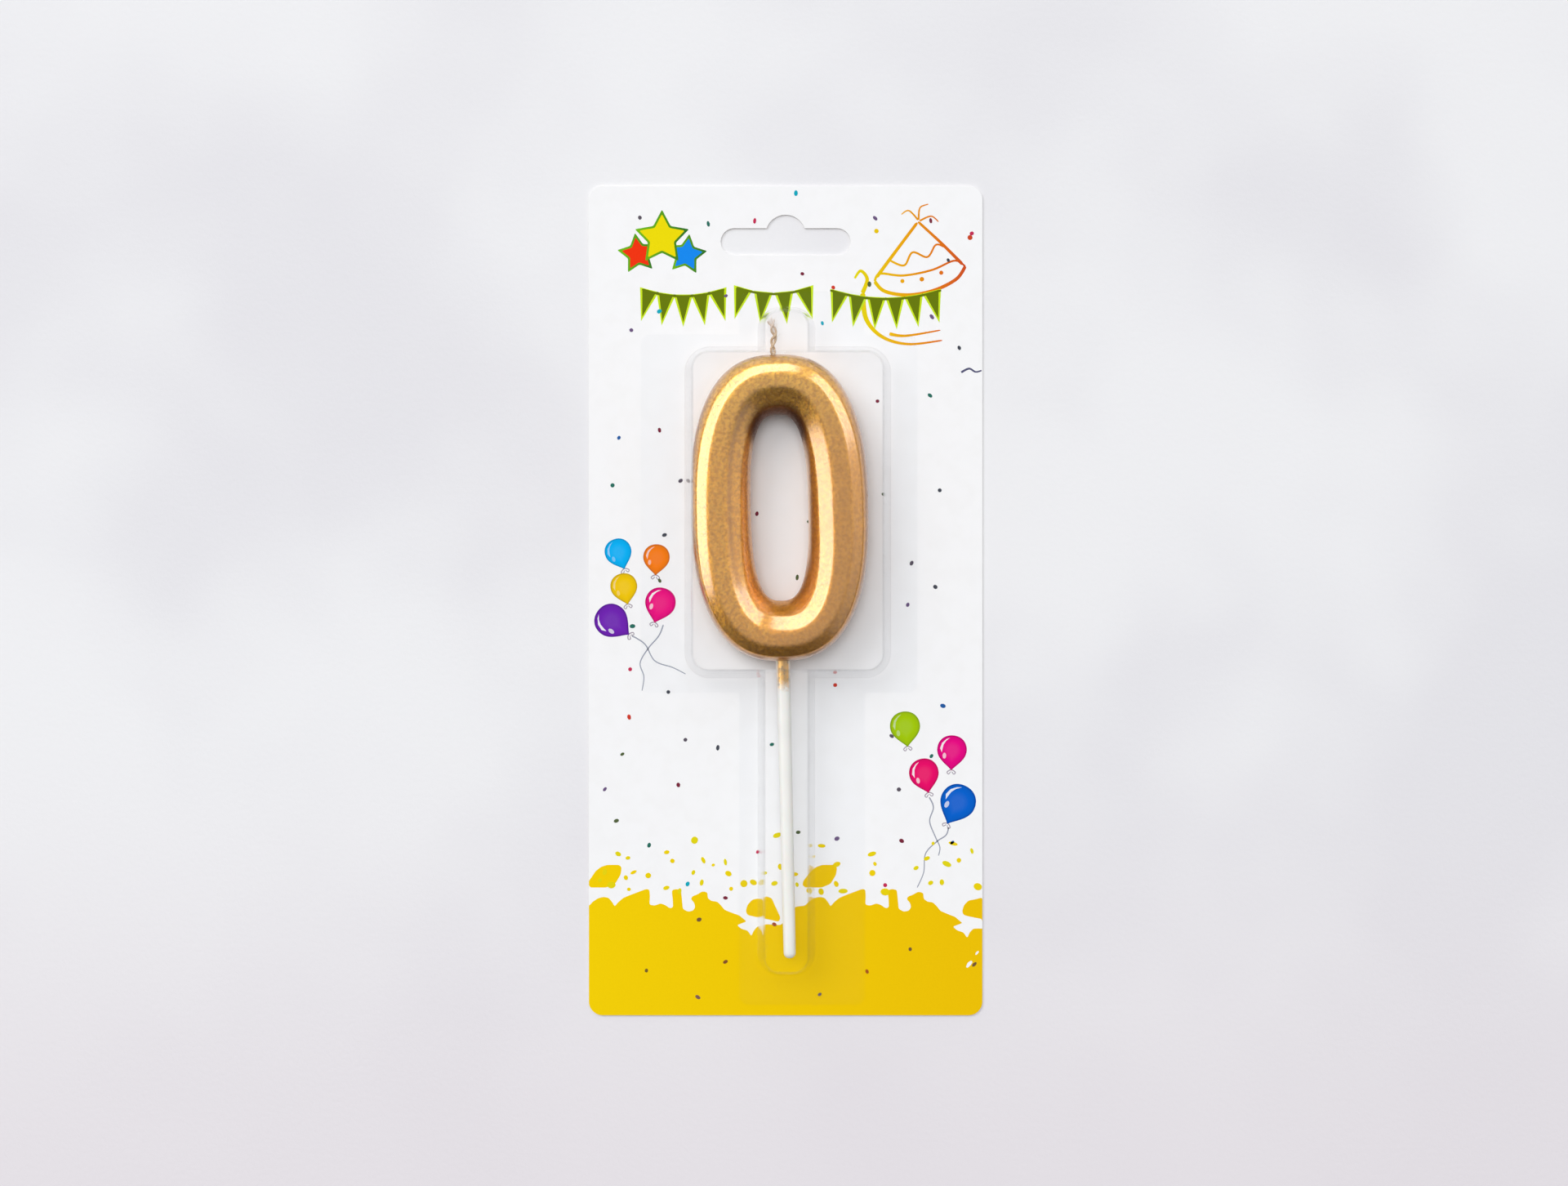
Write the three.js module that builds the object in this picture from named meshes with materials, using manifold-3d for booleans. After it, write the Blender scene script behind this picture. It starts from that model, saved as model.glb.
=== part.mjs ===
// A number candle in its retail pack: a gold wax numeral with a wick and a white pick,
// held on a printed hang card by a clear thermoformed blister.
// Millimetres. The pack lies on its back: +X across the card, +Y up the card towards the hang
// slot, +Z out of its printed face. The origin is the centre of the card's back.
import * as THREE from "three";
import { mergeVertices } from "three/addons/utils/BufferGeometryUtils.js";
import Module from "manifold-3d";

// Card
const CARD_WIDTH = 85;
const CARD_HEIGHT = 179;
const CARD_THICKNESS = 0.45;
const CARD_CORNER_RADIUS = 3;

// Hang slot: a long slot with round ends and a hump for a single peg
const SLOT_WIDTH = 28;
const SLOT_HEIGHT = 5.8;
const SLOT_TO_CARD_TOP = 12;
const HUMP_WIDTH = 8.2;
const HUMP_RISE = 2.9;

// Numeral: two superellipses with a rounded section between them
const NUMERAL_WIDTH = 38;
const NUMERAL_HEIGHT = 65.5;
const NUMERAL_THICKNESS = 12;
const LIMB_WIDTH = 12.9;
const FACE_WIDTH = 3.9;
const WAIST_THICKNESS = 1;
const OUTER_SQUARENESS = 2.5;
const EYE_SQUARENESS = 2.8;

// Wick, a little left of the numeral's middle
const WICK_RADIUS = 0.8;
const WICK_FREE_LENGTH = 7.8;
const WICK_CAST_LENGTH = 8;
const WICK_OFFSET = 0.6;
const WICK_SWAY = 0.45;
const WICK_BENDS = 3;

// Pick, with collars on the end that the wax is cast round
const PICK_RADIUS = 1.5;
const PICK_FREE_LENGTH = 63.5;
const PICK_CAST_LENGTH = 9;
const PICK_TIP_ROUND = 1.2;
const COLLAR_HEIGHT = 0.9;
const COLLAR_LENGTH = 1.4;
const COLLAR_COUNT = 2;

// How the candle lies on the card
const CANDLE_X = -1.3;
const CANDLE_Y = 19.9;
const CANDLE_TURN = THREE.MathUtils.degToRad(1.3);
const CAST_CLEARANCE = 0.3;
const LYING_CLEARANCE = 0.3;

// Blister sheet, and the film of ink and seal lacquer between it and the card
const SHEET = 0.35;
const SEAL_FILM = 0.06;
const DRAFT = THREE.MathUtils.degToRad(8.5);
const FOOT_RADIUS = 0.7;
const CEILING_EDGE_RADIUS = 1.2;

// Pocket round the numeral, with its free room at the candle's half height
const POCKET_ROOM = { left: 0.25, right: 3.75, top: 0.9, bottom: 2.6 };
const POCKET_HEADROOM = 0.8;
const POCKET_CORNER_RADIUS = 4.3;
const POCKET_FLANGE = { left: 8.8, right: 5.1, top: 2, bottom: 2.5 };

// Channel that runs on past both ends of the pocket, over the pick and over the wick
const CHANNEL_ROOM = { side: 2.7, top: 1.6, bottom: 3.1 };
const CHANNEL_HEADROOM = 1.6;
const CHANNEL_CORNER_RADIUS = 3.6;
const CHANNEL_FLANGE = { left: 3.4, right: 10.1, top: 2.8, bottom: 5.8 };
const FLANGE_CORNER_RADIUS = 2;

// Steps of the faceted surfaces
const CORNER_STEPS = 6;
const EDGE_STEPS = 4;
const NUMERAL_STEPS = 80;
const EYE_STEPS = 56;
const SECTION_STEPS = 6;
const ROUND_STEPS = 20;
const WICK_SIDES = 10;
const WICK_STEPS = 14;

const wasm = await Module();
wasm.setup();

function toSolid(geometry) {
  const bare = geometry.clone();
  bare.deleteAttribute("normal");
  bare.deleteAttribute("uv");
  const merged = mergeVertices(bare);
  return new wasm.Manifold(
    new wasm.Mesh({
      numProp: 3,
      vertProperties: merged.attributes.position.array,
      triVerts: new Uint32Array(merged.index.array),
    }),
  );
}

function toGeometry(solid) {
  const mesh = solid.getMesh();
  const geometry = new THREE.BufferGeometry();
  geometry.setAttribute("position", new THREE.BufferAttribute(mesh.vertProperties, 3));
  geometry.setIndex(new THREE.BufferAttribute(mesh.triVerts, 1));
  geometry.computeVertexNormals();
  return geometry;
}

// A rectangle with round corners, from its four sides. The points are as many whatever its size.
function cornerPoints({ left, right, bottom, top }, radius) {
  const points = [];
  for (let corner = 0; corner < 4; corner++) {
    const centreX = corner === 0 || corner === 3 ? right - radius : left + radius;
    const centreY = corner < 2 ? top - radius : bottom + radius;
    for (let step = 0; step <= CORNER_STEPS; step++) {
      const angle = (Math.PI / 2) * (corner + step / CORNER_STEPS);
      points.push(
        new THREE.Vector2(centreX + radius * Math.cos(angle), centreY + radius * Math.sin(angle)),
      );
    }
  }
  return points;
}

function grow({ left, right, bottom, top }, by) {
  return {
    left: left - by.left,
    right: right + by.right,
    bottom: bottom - by.bottom,
    top: top + by.top,
  };
}

function growAll(sides, by) {
  return grow(sides, { left: by, right: by, bottom: by, top: by });
}

function flatPlate(shape, depth) {
  return new THREE.ExtrudeGeometry(shape, {
    depth,
    bevelEnabled: false,
    curveSegments: CORNER_STEPS * 2,
  });
}

// A closed body through rings of equal count, from the lowest to the highest.
function loft(rings) {
  const count = rings[0].length;
  const faces = [];
  for (let level = 0; level < rings.length - 1; level++) {
    for (let i = 0; i < count; i++) {
      const a = level * count + i;
      const b = level * count + ((i + 1) % count);
      faces.push(a, b, b + count, a, b + count, a + count);
    }
  }
  const top = (rings.length - 1) * count;
  for (let i = 1; i < count - 1; i++) {
    faces.push(0, i + 1, i);
    faces.push(top, top + i, top + i + 1);
  }
  const geometry = new THREE.BufferGeometry().setFromPoints(rings.flat());
  geometry.setIndex(faces);
  return geometry;
}

// Heights above the sheet's underside
const axisHeight = LYING_CLEARANCE + NUMERAL_THICKNESS / 2 - SEAL_FILM;
const pocketHeight = axisHeight + NUMERAL_THICKNESS / 2 + POCKET_HEADROOM + SHEET;
const channelHeight =
  axisHeight + Math.max(PICK_RADIUS, WICK_RADIUS) + CHANNEL_HEADROOM + SHEET;

// Where the candle's ends and its pick come to lie on the card
const wickTopY = CANDLE_Y + (NUMERAL_HEIGHT / 2 + WICK_FREE_LENGTH) * Math.cos(CANDLE_TURN);
const pickTipY = CANDLE_Y - (NUMERAL_HEIGHT / 2 + PICK_FREE_LENGTH) * Math.cos(CANDLE_TURN);
const pickMiddleX =
  CANDLE_X + (NUMERAL_HEIGHT / 2 + PICK_FREE_LENGTH / 2) * Math.sin(CANDLE_TURN);
const pickHalfSpread =
  PICK_RADIUS + (PICK_FREE_LENGTH / 2) * Math.abs(Math.sin(CANDLE_TURN)) + CHANNEL_ROOM.side;

// A chamber's sides are those of its inner face at the height of the candle's axis.
const pocket = {
  height: pocketHeight,
  cornerRadius: POCKET_CORNER_RADIUS,
  sides: grow(
    {
      left: CANDLE_X - NUMERAL_WIDTH / 2,
      right: CANDLE_X + NUMERAL_WIDTH / 2,
      bottom: CANDLE_Y - NUMERAL_HEIGHT / 2,
      top: CANDLE_Y + NUMERAL_HEIGHT / 2,
    },
    POCKET_ROOM,
  ),
};
const channel = {
  height: channelHeight,
  cornerRadius: CHANNEL_CORNER_RADIUS,
  sides: {
    left: pickMiddleX - pickHalfSpread,
    right: pickMiddleX + pickHalfSpread,
    bottom: pickTipY - CHANNEL_ROOM.bottom,
    top: wickTopY + CHANNEL_ROOM.top,
  },
};

// A drafted wall's section from its foot up, as [offset from the chamber's sides, height].
// skin is 0 for the sheet's outer face and SHEET for its inner face.
function wallProfile(height, skin) {
  const slant = Math.cos(DRAFT);
  const outerFace = (z) => (axisHeight - z) * Math.tan(DRAFT) + SHEET / slant;
  const footZ = SHEET + FOOT_RADIUS;
  const footX = outerFace(footZ) + FOOT_RADIUS / slant;
  const edgeZ = height - CEILING_EDGE_RADIUS;
  const edgeX = outerFace(edgeZ) - CEILING_EDGE_RADIUS / slant;
  const footRadius = FOOT_RADIUS + skin;
  const edgeRadius = CEILING_EDGE_RADIUS - skin;
  const profile = [];
  for (let step = 0; step <= EDGE_STEPS; step++) {
    const angle = Math.PI / 2 + (DRAFT - Math.PI / 2) * (step / EDGE_STEPS);
    profile.push([footX - footRadius * Math.cos(angle), footZ - footRadius * Math.sin(angle)]);
  }
  for (let step = 0; step <= EDGE_STEPS; step++) {
    const angle = DRAFT + (Math.PI / 2 - DRAFT) * (step / EDGE_STEPS);
    profile.push([edgeX + edgeRadius * Math.cos(angle), edgeZ + edgeRadius * Math.sin(angle)]);
  }
  return profile;
}

// A chamber's outer or inner body. The inner one starts below the sheet, so that it cuts through.
function chamberBody({ sides, height, cornerRadius }, skin) {
  const profile = wallProfile(height, skin);
  profile.unshift([profile[0][0], skin > 0 ? -SHEET : 0]);
  const rings = profile.map(([offset, z]) =>
    cornerPoints(growAll(sides, offset), cornerRadius + offset).map(
      (point) => new THREE.Vector3(point.x, point.y, z),
    ),
  );
  return toSolid(loft(rings));
}

function flange({ sides, height }, margin) {
  const footOffset = wallProfile(height, 0)[0][0];
  const outline = grow(growAll(sides, footOffset), margin);
  return toSolid(
    flatPlate(new THREE.Shape(cornerPoints(outline, FLANGE_CORNER_RADIUS)), SHEET),
  );
}

function blister() {
  const flanges = flange(pocket, POCKET_FLANGE).add(flange(channel, CHANNEL_FLANGE));
  const outside = chamberBody(pocket, 0).add(chamberBody(channel, 0));
  const inside = chamberBody(pocket, SHEET).add(chamberBody(channel, SHEET));
  return toGeometry(flanges.add(outside).subtract(inside));
}

function hangSlot() {
  const y = CARD_HEIGHT / 2 - SLOT_TO_CARD_TOP;
  const endRadius = SLOT_HEIGHT / 2;
  const endX = SLOT_WIDTH / 2 - endRadius;
  const humpRadius = (HUMP_WIDTH ** 2 / 4 + HUMP_RISE ** 2) / (2 * HUMP_RISE);
  const humpY = y + endRadius + HUMP_RISE - humpRadius;
  const humpAngle = Math.acos(HUMP_WIDTH / 2 / humpRadius);
  const slot = new THREE.Path();
  slot.absarc(endX, y, endRadius, -Math.PI / 2, Math.PI / 2);
  slot.absarc(0, humpY, humpRadius, humpAngle, Math.PI - humpAngle);
  slot.absarc(-endX, y, endRadius, Math.PI / 2, Math.PI * 1.5);
  return slot;
}

function card() {
  const outline = {
    left: -CARD_WIDTH / 2,
    right: CARD_WIDTH / 2,
    bottom: -CARD_HEIGHT / 2,
    top: CARD_HEIGHT / 2,
  };
  const shape = new THREE.Shape(cornerPoints(outline, CARD_CORNER_RADIUS));
  shape.holes.push(hangSlot());
  return flatPlate(shape, CARD_THICKNESS);
}

function superellipse(halfWidth, halfHeight, squareness, steps) {
  const points = [];
  for (let i = 0; i < steps; i++) {
    const angle = (2 * Math.PI * i) / steps;
    const cos = Math.cos(angle);
    const sin = Math.sin(angle);
    points.push(
      new THREE.Vector2(
        halfWidth * Math.sign(cos) * Math.abs(cos) ** (2 / squareness),
        halfHeight * Math.sign(sin) * Math.abs(sin) ** (2 / squareness),
      ),
    );
  }
  return points;
}

// A rod along Y from one end to the other, for the holes in the wax.
function rodSolid(radius, fromY, toY, x = 0) {
  const rod = new THREE.CylinderGeometry(radius, radius, toY - fromY, ROUND_STEPS);
  rod.translate(x, (fromY + toY) / 2, 0);
  return toSolid(rod);
}

const numeralTop = NUMERAL_HEIGHT / 2;
const numeralBottom = -NUMERAL_HEIGHT / 2;

// Where each collar starts on the pick's cast end, the last one flush with its inner end.
function collarStarts() {
  const pitch = PICK_CAST_LENGTH / COLLAR_COUNT;
  return Array.from(
    { length: COLLAR_COUNT },
    (_, i) => numeralBottom + pitch * (i + 1) - COLLAR_LENGTH,
  );
}

function numeral() {
  const shape = new THREE.Shape(
    superellipse(NUMERAL_WIDTH / 2, NUMERAL_HEIGHT / 2, OUTER_SQUARENESS, NUMERAL_STEPS),
  );
  shape.holes.push(
    new THREE.Path(
      superellipse(
        NUMERAL_WIDTH / 2 - LIMB_WIDTH,
        NUMERAL_HEIGHT / 2 - LIMB_WIDTH,
        EYE_SQUARENESS,
        EYE_STEPS,
      ),
    ),
  );
  const roundAcross = (LIMB_WIDTH - FACE_WIDTH) / 2;
  const wax = new THREE.ExtrudeGeometry(shape, {
    depth: WAIST_THICKNESS,
    bevelEnabled: true,
    bevelSize: roundAcross,
    bevelOffset: -roundAcross,
    bevelThickness: (NUMERAL_THICKNESS - WAIST_THICKNESS) / 2,
    bevelSegments: SECTION_STEPS,
  });
  wax.translate(0, 0, -WAIST_THICKNESS / 2);

  const wickHole = rodSolid(
    WICK_RADIUS + CAST_CLEARANCE,
    numeralTop - WICK_CAST_LENGTH - CAST_CLEARANCE,
    numeralTop + WICK_FREE_LENGTH,
    -WICK_OFFSET,
  );
  const pickHole = rodSolid(
    PICK_RADIUS + CAST_CLEARANCE,
    numeralBottom - PICK_FREE_LENGTH,
    numeralBottom + PICK_CAST_LENGTH + CAST_CLEARANCE,
  );
  const collarHoles = collarStarts().map((start) =>
    rodSolid(
      PICK_RADIUS + COLLAR_HEIGHT + CAST_CLEARANCE,
      start - CAST_CLEARANCE,
      start + COLLAR_LENGTH + CAST_CLEARANCE,
    ),
  );
  return toGeometry(
    [wickHole, pickHole, ...collarHoles].reduce((solid, hole) => solid.subtract(hole), toSolid(wax)),
  );
}

// The wick is straight in the wax and bends to the right, back and to the left above it.
function wick() {
  const at = (sway, height) =>
    new THREE.Vector3(sway - WICK_OFFSET, numeralTop + height, 0);
  const points = [at(0, -WICK_CAST_LENGTH), at(0, -WICK_CAST_LENGTH / 2), at(0, 0)];
  for (let bend = 1; bend <= WICK_BENDS; bend++) {
    const sway = WICK_SWAY * Math.sin((bend * Math.PI) / 2);
    points.push(at(sway, (WICK_FREE_LENGTH * bend) / WICK_BENDS));
  }
  const section = new THREE.Shape().absarc(0, 0, WICK_RADIUS, 0, Math.PI * 2);
  return new THREE.ExtrudeGeometry(section, {
    extrudePath: new THREE.CatmullRomCurve3(points),
    steps: WICK_STEPS,
    curveSegments: WICK_SIDES,
  });
}

function pick() {
  const tip = numeralBottom - PICK_FREE_LENGTH;
  const profile = [new THREE.Vector2(0, tip)];
  for (let step = 0; step <= EDGE_STEPS; step++) {
    const angle = (Math.PI / 2) * (step / EDGE_STEPS);
    profile.push(
      new THREE.Vector2(
        PICK_RADIUS - PICK_TIP_ROUND * (1 - Math.sin(angle)),
        tip + PICK_TIP_ROUND * (1 - Math.cos(angle)),
      ),
    );
  }
  const collarRadius = PICK_RADIUS + COLLAR_HEIGHT;
  for (const start of collarStarts()) {
    const end = start + COLLAR_LENGTH;
    profile.push(new THREE.Vector2(PICK_RADIUS, start));
    profile.push(new THREE.Vector2(collarRadius, start));
    profile.push(new THREE.Vector2(collarRadius, end));
    profile.push(new THREE.Vector2(PICK_RADIUS, end));
  }
  profile.push(new THREE.Vector2(0, numeralBottom + PICK_CAST_LENGTH));
  return new THREE.LatheGeometry(profile, ROUND_STEPS);
}

function piece(name, geometry, surface) {
  const mesh = new THREE.Mesh(geometry, new THREE.MeshStandardMaterial(surface));
  mesh.name = name;
  return mesh;
}

const pack = new THREE.Group();
pack.add(piece("card", card(), { color: 0xf4f4f2, roughness: 0.45, metalness: 0 }));

const clearPlastic = {
  color: 0xeef2f4,
  roughness: 0.08,
  metalness: 0,
  transparent: true,
  opacity: 0.25,
};
const cover = piece("blister", blister(), clearPlastic);
cover.position.z = CARD_THICKNESS + SEAL_FILM;
pack.add(cover);

const candle = new THREE.Group();
candle.position.set(CANDLE_X, CANDLE_Y, CARD_THICKNESS + SEAL_FILM + axisHeight);
candle.rotation.z = CANDLE_TURN;
candle.add(piece("numeral", numeral(), { color: 0xc8924f, roughness: 0.35, metalness: 0.85 }));
candle.add(piece("wick", wick(), { color: 0xcdb08e, roughness: 0.9, metalness: 0 }));
candle.add(piece("pick", pick(), { color: 0xf3f4f1, roughness: 0.3, metalness: 0 }));
pack.add(candle);

export default pack;
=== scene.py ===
from math import acos, cos, hypot, pi, radians, sin, tan

import bmesh
import bpy
from mathutils import Matrix, Vector
from mathutils.geometry import delaunay_2d_cdt, tessellate_polygon


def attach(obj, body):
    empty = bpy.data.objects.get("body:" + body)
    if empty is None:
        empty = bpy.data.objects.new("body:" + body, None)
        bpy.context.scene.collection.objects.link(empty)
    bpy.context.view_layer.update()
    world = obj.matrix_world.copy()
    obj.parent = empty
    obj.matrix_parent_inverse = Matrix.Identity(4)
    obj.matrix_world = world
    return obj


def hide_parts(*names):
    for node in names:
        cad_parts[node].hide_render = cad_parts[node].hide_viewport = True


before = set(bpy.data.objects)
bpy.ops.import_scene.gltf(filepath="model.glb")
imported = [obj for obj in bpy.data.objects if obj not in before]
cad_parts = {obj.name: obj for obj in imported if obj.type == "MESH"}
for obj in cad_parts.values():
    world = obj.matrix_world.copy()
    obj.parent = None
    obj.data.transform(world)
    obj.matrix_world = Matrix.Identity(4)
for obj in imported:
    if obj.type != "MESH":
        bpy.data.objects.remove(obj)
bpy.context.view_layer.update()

# Shapes are written in millimetres with the card's back at the origin, and scaled when they are placed.
mm = 0.001


def linear(red, green, blue):
    # a screen colour of 0 to 255 as the linear colour that a shader takes
    channels = [value / 255 for value in (red, green, blue)]
    return tuple(c / 12.92 if c <= 0.04045 else ((c + 0.055) / 1.055) ** 2.4 for c in channels)


def opaque(colour):
    return (*colour, 1.0)


def printed(colour):
    return opaque(linear(*colour))


def blendColour(first, second, share):
    return tuple(a + (b - a) * share for a, b in zip(first, second))


class Field:
    # a node's output, which sums and products can be written with
    def __init__(self, socket):
        self.socket = socket

    def __add__(self, other):
        return calc("ADD", self, other)

    def __radd__(self, other):
        return calc("ADD", other, self)

    def __sub__(self, other):
        return calc("SUBTRACT", self, other)

    def __rsub__(self, other):
        return calc("SUBTRACT", other, self)

    def __mul__(self, other):
        return calc("MULTIPLY", self, other)

    def __truediv__(self, other):
        return calc("DIVIDE", self, other)

    def __rtruediv__(self, other):
        return calc("DIVIDE", other, self)

    def __pow__(self, other):
        return calc("POWER", self, other)

    def __abs__(self):
        return calc("ABSOLUTE", self)


def feed(socket, value):
    if isinstance(value, Field):
        socket.id_data.links.new(value.socket, socket)
    else:
        socket.default_value = value


def addNode(tree, kind, inputs=None, **settings):
    node = tree.nodes.new(kind)
    for name, value in settings.items():
        setattr(node, name, value)
    for name, value in (inputs or {}).items():
        feed(node.inputs[name], value)
    return node


def out(node, name=0):
    return Field(node.outputs[name])


def made(tree, kind, inputs=None, output=0, **settings):
    return out(addNode(tree, kind, inputs, **settings), output)


def treeOf(*values):
    # the node tree that the fields among the values belong to
    return next(value.socket.id_data for value in values if isinstance(value, Field))


def calc(operation, *values):
    inputs = dict(enumerate(values))
    return made(treeOf(*values), "ShaderNodeMath", inputs, operation=operation)


def calcVector(operation, *values, output=0):
    inputs = dict(enumerate(values))
    return made(treeOf(*values), "ShaderNodeVectorMath", inputs, output, operation=operation)


def scaleVector(vector, scale):
    inputs = {0: vector, "Scale": scale}
    return made(treeOf(vector, scale), "ShaderNodeVectorMath", inputs, operation="SCALE")


def rangeMap(value, fromLow, fromHigh, toLow=0.0, toHigh=1.0, smooth=True):
    inputs = dict(enumerate((value, fromLow, fromHigh, toLow, toHigh)))
    kind = "SMOOTHSTEP" if smooth else "LINEAR"
    return made(treeOf(value), "ShaderNodeMapRange", inputs, interpolation_type=kind)


def mixColour(share, first, second, mode="MIX"):
    tree, inputs = treeOf(share, first, second), {0: share, 6: first, 7: second}
    return made(tree, "ShaderNodeMix", inputs, 2, data_type="RGBA", blend_type=mode)


def mixShader(share, first, second):
    return made(treeOf(share), "ShaderNodeMixShader", {0: share, 1: first, 2: second})


def tintOver(value, reach, tone, colour):
    # a tone that takes on a colour as a value goes from low to high, up to a share
    low, high, share = reach
    return mixColour(rangeMap(value, low, high, 0.0, share), tone, opaque(colour))


def axes(vector):
    node = addNode(treeOf(vector), "ShaderNodeSeparateXYZ", {0: vector})
    return {socket.name: Field(socket) for socket in node.outputs}


def joined(tree, **values):
    return made(tree, "ShaderNodeCombineXYZ", values)


def attribute(tree, name, output="Fac"):
    return made(tree, "ShaderNodeAttribute", None, output, attribute_name=name)


def noiseField(point, scale, detail=2.0, roughness=0.5):
    inputs = {"Vector": point, "Scale": scale, "Detail": detail, "Roughness": roughness}
    return made(treeOf(point), "ShaderNodeTexNoise", inputs, "Fac")


def bumped(height, distance, strength=1.0):
    inputs = {"Height": height, "Distance": distance, "Strength": strength}
    return made(treeOf(height), "ShaderNodeBump", inputs, "Normal")


def newMaterial(name, values):
    material = bpy.data.materials.new(name)
    material.use_nodes = True
    tree = material.node_tree
    shader = tree.nodes["Principled BSDF"]
    for socket, value in values.items():
        shader.inputs[socket].default_value = value
    point = made(tree, "ShaderNodeTexCoord", None, "Object")
    return material, tree, shader.inputs, point


def chosen(values, *names):
    return {name: values[name] for name in names}


def linkObject(name, mesh):
    piece = bpy.data.objects.new(name, mesh)
    bpy.context.scene.collection.objects.link(piece)
    return piece


def meshObject(name, points, faces, edges=()):
    mesh = bpy.data.meshes.new(name)
    mesh.from_pydata([tuple(p) for p in points], list(edges), faces)
    return linkObject(name, mesh)


def placeMesh(piece, matrix):
    piece.data.transform(matrix)
    piece.data.update()


def tidyMesh(piece, mergeBelow=1e-4, smoothAngle=None):
    body = bmesh.new()
    body.from_mesh(piece.data)
    bmesh.ops.remove_doubles(body, verts=body.verts, dist=mergeBelow)
    bmesh.ops.recalc_face_normals(body, faces=body.faces)
    body.to_mesh(piece.data)
    body.free()
    if smoothAngle is not None:
        piece.data.shade_smooth()
        piece.data.set_sharp_from_angle(angle=radians(smoothAngle))


def settle(piece):
    # the modifiers' result becomes the piece's own plain mesh
    graph = bpy.context.evaluated_depsgraph_get()
    mesh = bpy.data.meshes.new_from_object(
        piece.evaluated_get(graph), preserve_all_data_layers=True, depsgraph=graph
    )
    piece.modifiers.clear()
    piece.data = mesh
    mesh.name = piece.name


def carve(piece, tools):
    # joins the tools to the piece or cuts them out of it
    for tool, operation in tools:
        step = piece.modifiers.new(tool.name, "BOOLEAN")
        step.operation = operation
        step.solver = "EXACT"
        step.object = tool
    settle(piece)
    for tool, operation in tools:
        bpy.data.objects.remove(tool)


def ringsObject(name, rings):
    # a closed solid through rings of points
    count = len(rings[0])
    points = [p for ring in rings for p in ring]
    faces = []
    for level in range(len(rings) - 1):
        for i in range(count):
            a, b = level * count + i, level * count + (i + 1) % count
            faces.append((a, b, b + count, a + count))
    faces.append(tuple(range(count))[::-1])
    faces.append(tuple(range((len(rings) - 1) * count, len(rings) * count)))
    return meshObject(name, points, faces)


def newTree(name, sockets):
    tree = bpy.data.node_groups.new(name, "GeometryNodeTree")
    kinds = {int: "NodeSocketInt", float: "NodeSocketFloat"}
    faces = tree.interface
    faces.new_socket("Geometry", in_out="INPUT", socket_type="NodeSocketGeometry")
    for label, value in sockets.items():
        socket = faces.new_socket(label, in_out="INPUT", socket_type=kinds[type(value)])
        socket.default_value = value
    faces.new_socket("Geometry", in_out="OUTPUT", socket_type="NodeSocketGeometry")
    given = tree.nodes.new("NodeGroupInput")
    return tree, {socket.name: Field(socket) for socket in given.outputs}


def endTree(tree, geometry, material):
    plain = made(tree, "GeometryNodeRealizeInstances", {"Geometry": geometry})
    inputs = {"Geometry": plain, "Material": material}
    dressed = made(tree, "GeometryNodeSetMaterial", inputs)
    feed(tree.nodes.new("NodeGroupOutput").inputs["Geometry"], dressed)


def runTree(piece, tree, values):
    modifier = piece.modifiers.new(tree.name, "NODES")
    modifier.node_group = tree
    for item in tree.interface.items_tree:
        if item.item_type == "SOCKET" and item.in_out == "INPUT" and item.name in values:
            modifier[item.identifier] = values[item.name]
    settle(piece)


def together(tree, *shapes):
    node = addNode(tree, "GeometryNodeJoinGeometry")
    for shape in shapes:
        feed(node.inputs[0], shape)
    return out(node)


def stored(tree, geometry, name, value, domain):
    inputs = {"Geometry": geometry, "Name": name, "Value": value}
    return made(
        tree, "GeometryNodeStoreNamedAttribute", inputs, data_type="FLOAT", domain=domain
    )


def randomValue(tree, seed, low=0.0, high=1.0):
    vector = isinstance(low, tuple)
    kind, first, output = ("FLOAT_VECTOR", 0, 0) if vector else ("FLOAT", 2, 1)
    node = addNode(tree, "FunctionNodeRandomValue", {"Seed": seed}, data_type=kind)
    node.inputs[first].default_value, node.inputs[first + 1].default_value = low, high
    return out(node, output)


# The candle's own frame: its middle, its small turn on the card and its height over it
lie = {"place": (-1.3, 19.9, 6.75), "turn": radians(1.3)}
liePlace = [value * mm for value in lie["place"]]
packPlace = Matrix.Scale(mm, 4)
candlePlace = Matrix.Translation(liePlace) @ Matrix.Rotation(lie["turn"], 4, "Z") @ packPlace


def candlePoint(point):
    # object coordinates turned into the candle's frame, in metres
    inputs = {"Vector": point, "Location": liePlace, "Rotation": (0, 0, lie["turn"])}
    return made(treeOf(point), "ShaderNodeMapping", inputs, vector_type="TEXTURE")


# Camera straight above the card
lens = {"place": (-0.353, 1.675, 600.35), "focal": 63.8, "sensor": 36, "nearest": 0.02}
camera = linkObject("photoCamera", bpy.data.cameras.new("photoCamera"))
camera.location = [value * mm for value in lens["place"]]
camera.data.lens = lens["focal"]
camera.data.sensor_width = lens["sensor"]
camera.data.clip_start = lens["nearest"]
bpy.context.scene.camera = camera

# Soft studio light: two soft boxes and a dim panel that the shiny pieces mirror, and two soft lights
# that lay the shadows
lamps = {
    "longBox": {"size": (12.2, 2.0), "radiance": 2.8, "azimuth": 137, "elevation": 40, "lights": False},
    "sideBox": {"size": (3.4, 1.4), "radiance": 2.4, "azimuth": 38, "elevation": 36, "lights": False},
    "rightPanel": {"size": (5.6, 1.5), "radiance": 0.26, "azimuth": -8, "elevation": 32, "lights": False},
    "topSoft": {"size": (2.4, 2.4), "radiance": 3.9, "azimuth": 110, "elevation": 80, "mirrored": False},
    "leftSoft": {"size": (3.0, 3.0), "radiance": 2.55, "azimuth": 140, "elevation": 45, "mirrored": False},
}
lampDistance = 5.2
world = {"colour": (0.97, 0.98, 1.0), "towards": (0.06, 0.72, 0.6), "reach": (-0.3, 0.72, 0.05, 0.64)}


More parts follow.
